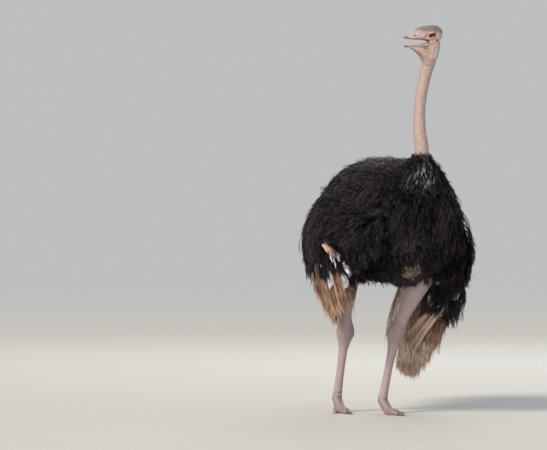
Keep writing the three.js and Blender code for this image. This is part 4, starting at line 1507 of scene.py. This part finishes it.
def locks(name, paths, each, spread, width, thick, count, slot, finish, **marks):
    """Plumes spread round each path, which fan a little towards their tips."""
    curves = np.repeat([along_path(path) for path in paths], each, 0)
    many = len(curves)
    fan = np.linspace(0.4, 1.2, LOCK_POINTS)[None, :, None]
    shafts = curves + chance.normal(0, spread, (many, 1, 3)) * fan
    stretch = chance.uniform(0.75, 1.05, (many, 1, 1))
    shafts = shafts[:, :1] + (shafts - shafts[:, :1]) * stretch
    seen_way = unit(np.array(-away) + np.array((0, 0, 0.15)))
    outs = unit(np.broadcast_to(seen_way, shafts.shape) + chance.normal(0, 0.25, shafts.shape))
    fluff = barbs(
        shafts, outs, count, np.full(many, width), np.full(many, thick),
        start=(0.0, 0.6), reach=(0.3, 0.5), curl=2 * MM)
    bundles = [fluff, shaft_ribbons(shafts, outs, np.full(many, 0.9 * MM))]
    marks = {label: np.clip(value + chance.normal(0, 0.12, many), 0, 1) for label, value in marks.items()}
    return coat_piece(name, bundles, shafts[:, 0], finish, slot, **marks)


WHITE_RIGHT = [
    [(-406, -303, 932), (-386, -316, 891), (-358, -326, 843)],
    [(-406, -264, 880), (-381, -280, 825), (-367, -278, 765)],
    [(-459, -237, 870), (-460, -240, 819), (-430, -246, 771)]]
STROKES_RIGHT = [
    [(-478, -275, 980), (-472, -282, 951), (-463, -286, 921)],
    [(-463, -286, 962), (-455, -292, 933), (-447, -292, 897)],
    [(-441, -294, 968), (-432, -300, 950), (-426, -300, 927)]]
TAN_RIGHT = [
    [(-430, -258, 896), (-412, -261, 801), (-385, -247, 693)],
    [(-439, -236, 830), (-413, -238, 717), (-380, -238, 621)],
    [(-455, -195, 840), (-430, -204, 734), (-388, -221, 633)],
    [(-470, -150, 845), (-440, -170, 751), (-392, -200, 620)]]
BLACK_RIGHT = [
    [(-520, -102, 930), (-512, -117, 858), (-500, -134, 799)],
    [(-518, -178, 931), (-508, -193, 860), (-490, -202, 800)],
    [(-508, -233, 932), (-496, -245, 867), (-478, -250, 807)],
    [(-432, -290, 932), (-417, -298, 891), (-404, -299, 843)],
    [(-478, -255, 985), (-486, -258, 920), (-478, -258, 850)],
    [(-458, -280, 950), (-455, -284, 903), (-458, -278, 845)],
    [(-426, -292, 945), (-412, -300, 905), (-400, -300, 862)],
    [(-470, -150, 900), (-482, -160, 860), (-462, -190, 826)]]
WISPS_RIGHT = [
    [(-330, -80, 890), (-275, -90, 790), (-224, -71, 697), (-189, -55, 587)],
    [(-340, -76, 880), (-285, -86, 775), (-229, -68, 667), (-190, -43, 551)],
    [(-350, -84, 870), (-300, -96, 755), (-254, -78, 661), (-220, -50, 563)]]
BROWN_RIGHT = [[(-381, -266, 789), (-348, -279, 765), (-300, -294, 747)]]
WHITE_LEFT = [
    [(379, -204, 764), (366, -206, 740), (358, -204, 704)],
    [(402, -214, 760), (400, -220, 722), (395, -218, 679)],
    [(342, -150, 684), (330, -150, 660), (318, -140, 629)]]
SHAFTS_LEFT = [
    [(383, -150, 677), (314, -52, 583), (234, 124, 358)],
    [(400, -158, 683), (340, -78, 596), (262, 98, 364)],
    [(363, -138, 689), (278, -32, 590), (236, 100, 438)]]
BLACK_LEFT = [
    [(238, -160, 813), (240, -144, 740), (235, -114, 654)],
    [(270, -177, 807), (280, -159, 710), (283, -127, 617)],
    [(310, -191, 795), (320, -174, 697), (321, -146, 599)],
    [(345, -203, 777), (355, -186, 673), (359, -165, 575)],
    [(393, -217, 752), (408, -213, 661), (402, -199, 569)],
    [(425, -233, 813), (444, -237, 715), (438, -223, 618)],
    [(386, -195, 720), (391, -190, 650), (385, -180, 575)],
    [(419, -205, 720), (424, -200, 655), (425, -192, 600)],
    [(330, -130, 680), (296, -92, 630), (272, -60, 588)],
    [(352, -150, 690), (330, -128, 630), (300, -95, 575)]]
WISPS_LEFT = [
    [(142, -60, 868), (105, -40, 760), (68, 18, 635), (56, 68, 481), (65, 85, 321)],
    [(150, -70, 862), (120, -50, 770), (86, -2, 671), (73, 48, 554), (71, 71, 413)],
    [(146, -56, 866), (118, -36, 740), (94, 4, 610), (89, 39, 505), (71, 71, 370)]]
vane_finish = plumage(
    "smooth white vanes", "#d2d5da", [("rust", "#a8734e")], "#eceef0",
    rough=0.4, sheen=0.1, gloss=0.35, rooted=0.95)
locks(
    "locks_white", WHITE_RIGHT + WHITE_LEFT[:2], 8, 7 * MM, 14 * MM, 3.0 * MM, 24,
    "wing_plumes", vane_finish, rust=0.05)
locks(
    "strokes_white", STROKES_RIGHT + WHITE_LEFT[2:], 3, 3 * MM, 4 * MM, 2.0 * MM, 10,
    "wing_plumes", vane_finish, rust=0.0)
locks(
    "locks_tan", TAN_RIGHT, 22, 12 * MM, 11 * MM, 1.1 * MM, 16,
    "wing_plumes", pale_finish, rust=0.4, dark=0.25)
locks(
    "locks_shafts", SHAFTS_LEFT, 10, 7 * MM, 9 * MM, 1.1 * MM, 14,
    "wing_plumes", pale_finish, rust=0.1, white=0.35)
locks(
    "locks_wisps", WISPS_LEFT + WISPS_RIGHT, 7, 9 * MM, 7 * MM, 0.7 * MM, 10,
    "wing_plumes", pale_finish, rust=0.25, white=0.1)
locks("locks_brown", BROWN_RIGHT, 8, 5 * MM, 7 * MM, 1.1 * MM, 12, "wing_plumes", pale_finish, dark=0.95)
locks(
    "locks_black", BLACK_RIGHT + BLACK_LEFT, 12, 9 * MM, 10 * MM, 1.3 * MM, 14,
    "black_plumage", black_finish, brown=0.1)

# %% [markdown]
# ## Down, bristles and lashes
# The neck and head look bare, but short hair-like down grows all over them: pale on the nape, grey
# and bristly on the crown, sparse and dark on the throat. Long dark lashes guard each upper lid.
# Every hair is one thin ribbon that leaves the skin at a low angle.

# %% Short hairs
HAIR_POINTS = 4


def hairs(roots, normals, way, length, rise, thick):
    """One tapering ribbon for each root, bending from its rise towards its way."""
    t = np.linspace(0, 1, HAIR_POINTS)[None, :, None]
    shafts = roots[:, None] + way[:, None] * length[:, None, None] * t
    shafts = shafts + normals[:, None] * (length * rise)[:, None, None] * (t - 0.45 * t * t)
    outs = np.repeat(normals[:, None], HAIR_POINTS, 1)
    return barbs(shafts, outs, 1, thick, thick, start=(0.0, 0.01), reach=(0.9, 0.99), puff=0.0, segments=2)


def sprouted(name, many, density, length, rise, thick, finish, down_way=(0.0, 0.1, -1.0), **marks):
    """Hairs scattered over the skin. A mark is worked out for each root."""
    roots, normals = scattered(body_form, many, density)
    way = tangent(np.array(down_way) + chance.normal(0, 0.25, (many, 3)), normals)
    lengths = chance.uniform(*length, many) * MM
    rises = chance.uniform(*rise, many)
    bundle = hairs(roots, normals, way, lengths, rises, np.full(many, thick))
    marks = {label: value(roots) for label, value in marks.items()}
    return coat_piece(name, [bundle], roots, finish, "head_neck_skin", **marks)


def on_neck(points, normals):
    return (points[:, 2] > collar_top - 0.03) * (points[:, 2] < 2.14) * 1.0


def on_crown(points, normals):
    local = in_head(points)
    top = smooth_step(local[:, 2], 12, 34) * (points[:, 2] > 2.1)
    return top * (nearer_ring(local) > 1.7) * smooth_step(local[:, 0], 98, 60)


def on_nape(points, normals):
    local = in_head(points)
    back = smooth_step(local[:, 0] + 0.25 * local[:, 2], -34, -58) * (points[:, 2] > 2.05)
    return back * smooth_step(local[:, 2], 30, 0) * smooth_step(local[:, 2], -150, -110)


def on_cheek(points, normals):
    local = in_head(points)
    low = smooth_step(local[:, 2], 10, -20) * smooth_step(local[:, 0], 60, 20)
    return low * (nearer_ring(local) > 2.0) * (points[:, 2] > 2.08) * (np.abs(local[:, 2] + 40) > 4)


down_finish = plumage(
    "hair-like down", "#b9a394", [("grey", "#6f6462"), ("white", "#e4ddd6")], "#d9cabd", rough=0.7, sheen=0.1)
sprouted("down_neck", 5200, on_neck, (6, 13), (0.1, 0.35), 0.28 * MM, down_finish,
    grey=lambda p: chance.random(len(p)) * 0.9)
sprouted("down_crown", 2600, on_crown, (7, 16), (0.3, 0.9), 0.33 * MM, down_finish, (0.85, -0.1, -0.35),
    grey=lambda p: 0.3 + 0.7 * chance.random(len(p)))
sprouted("down_nape", 2600, on_nape, (9, 18), (0.3, 0.7), 0.45 * MM, down_finish,
    white=lambda p: 0.6 + 0.4 * chance.random(len(p)))
sprouted("down_cheek", 1500, on_cheek, (4, 8), (0.1, 0.4), 0.28 * MM, down_finish,
    grey=lambda p: chance.random(len(p)))

# %% Eyelashes
LASHES = 34
lash_finish = plumage("stiff dark lashes", "#181210", [("brown", "#3a2a20")], "#2a211d", rough=0.5, sheen=0.0)
for side in SIDES:
    turn = np.linspace(0.12 * math.pi, 0.95 * math.pi, LASHES) + chance.normal(0, 0.03, LASHES)
    along, above = LID_HALF * 1.02 * np.cos(turn), LID_TOP * 1.06 * np.sin(turn)
    out = np.sqrt((EYE_RADIUS + 1.2) ** 2 - along**2 - above**2)
    local = from_eye(along, above, out, side)
    roots = from_head(local)
    outward = unit(local * (0.5, 1.0, 0.55)) @ head_axes
    way = unit(outward + 0.35 * UNIT_DOWN)
    bundle = hairs(
        roots, np.repeat([[0.0, 0.0, 1.0]], LASHES, 0), way, chance.uniform(10, 15, LASHES) * MM,
        np.full(LASHES, 0.35), np.full(LASHES, 0.45 * MM))
    coat_piece("lashes_" + side, [bundle], roots, lash_finish, "black_plumage")

# %% The visual box
low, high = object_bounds()
print("visual box", [round(v, 3) for v in low], [round(v, 3) for v in high])
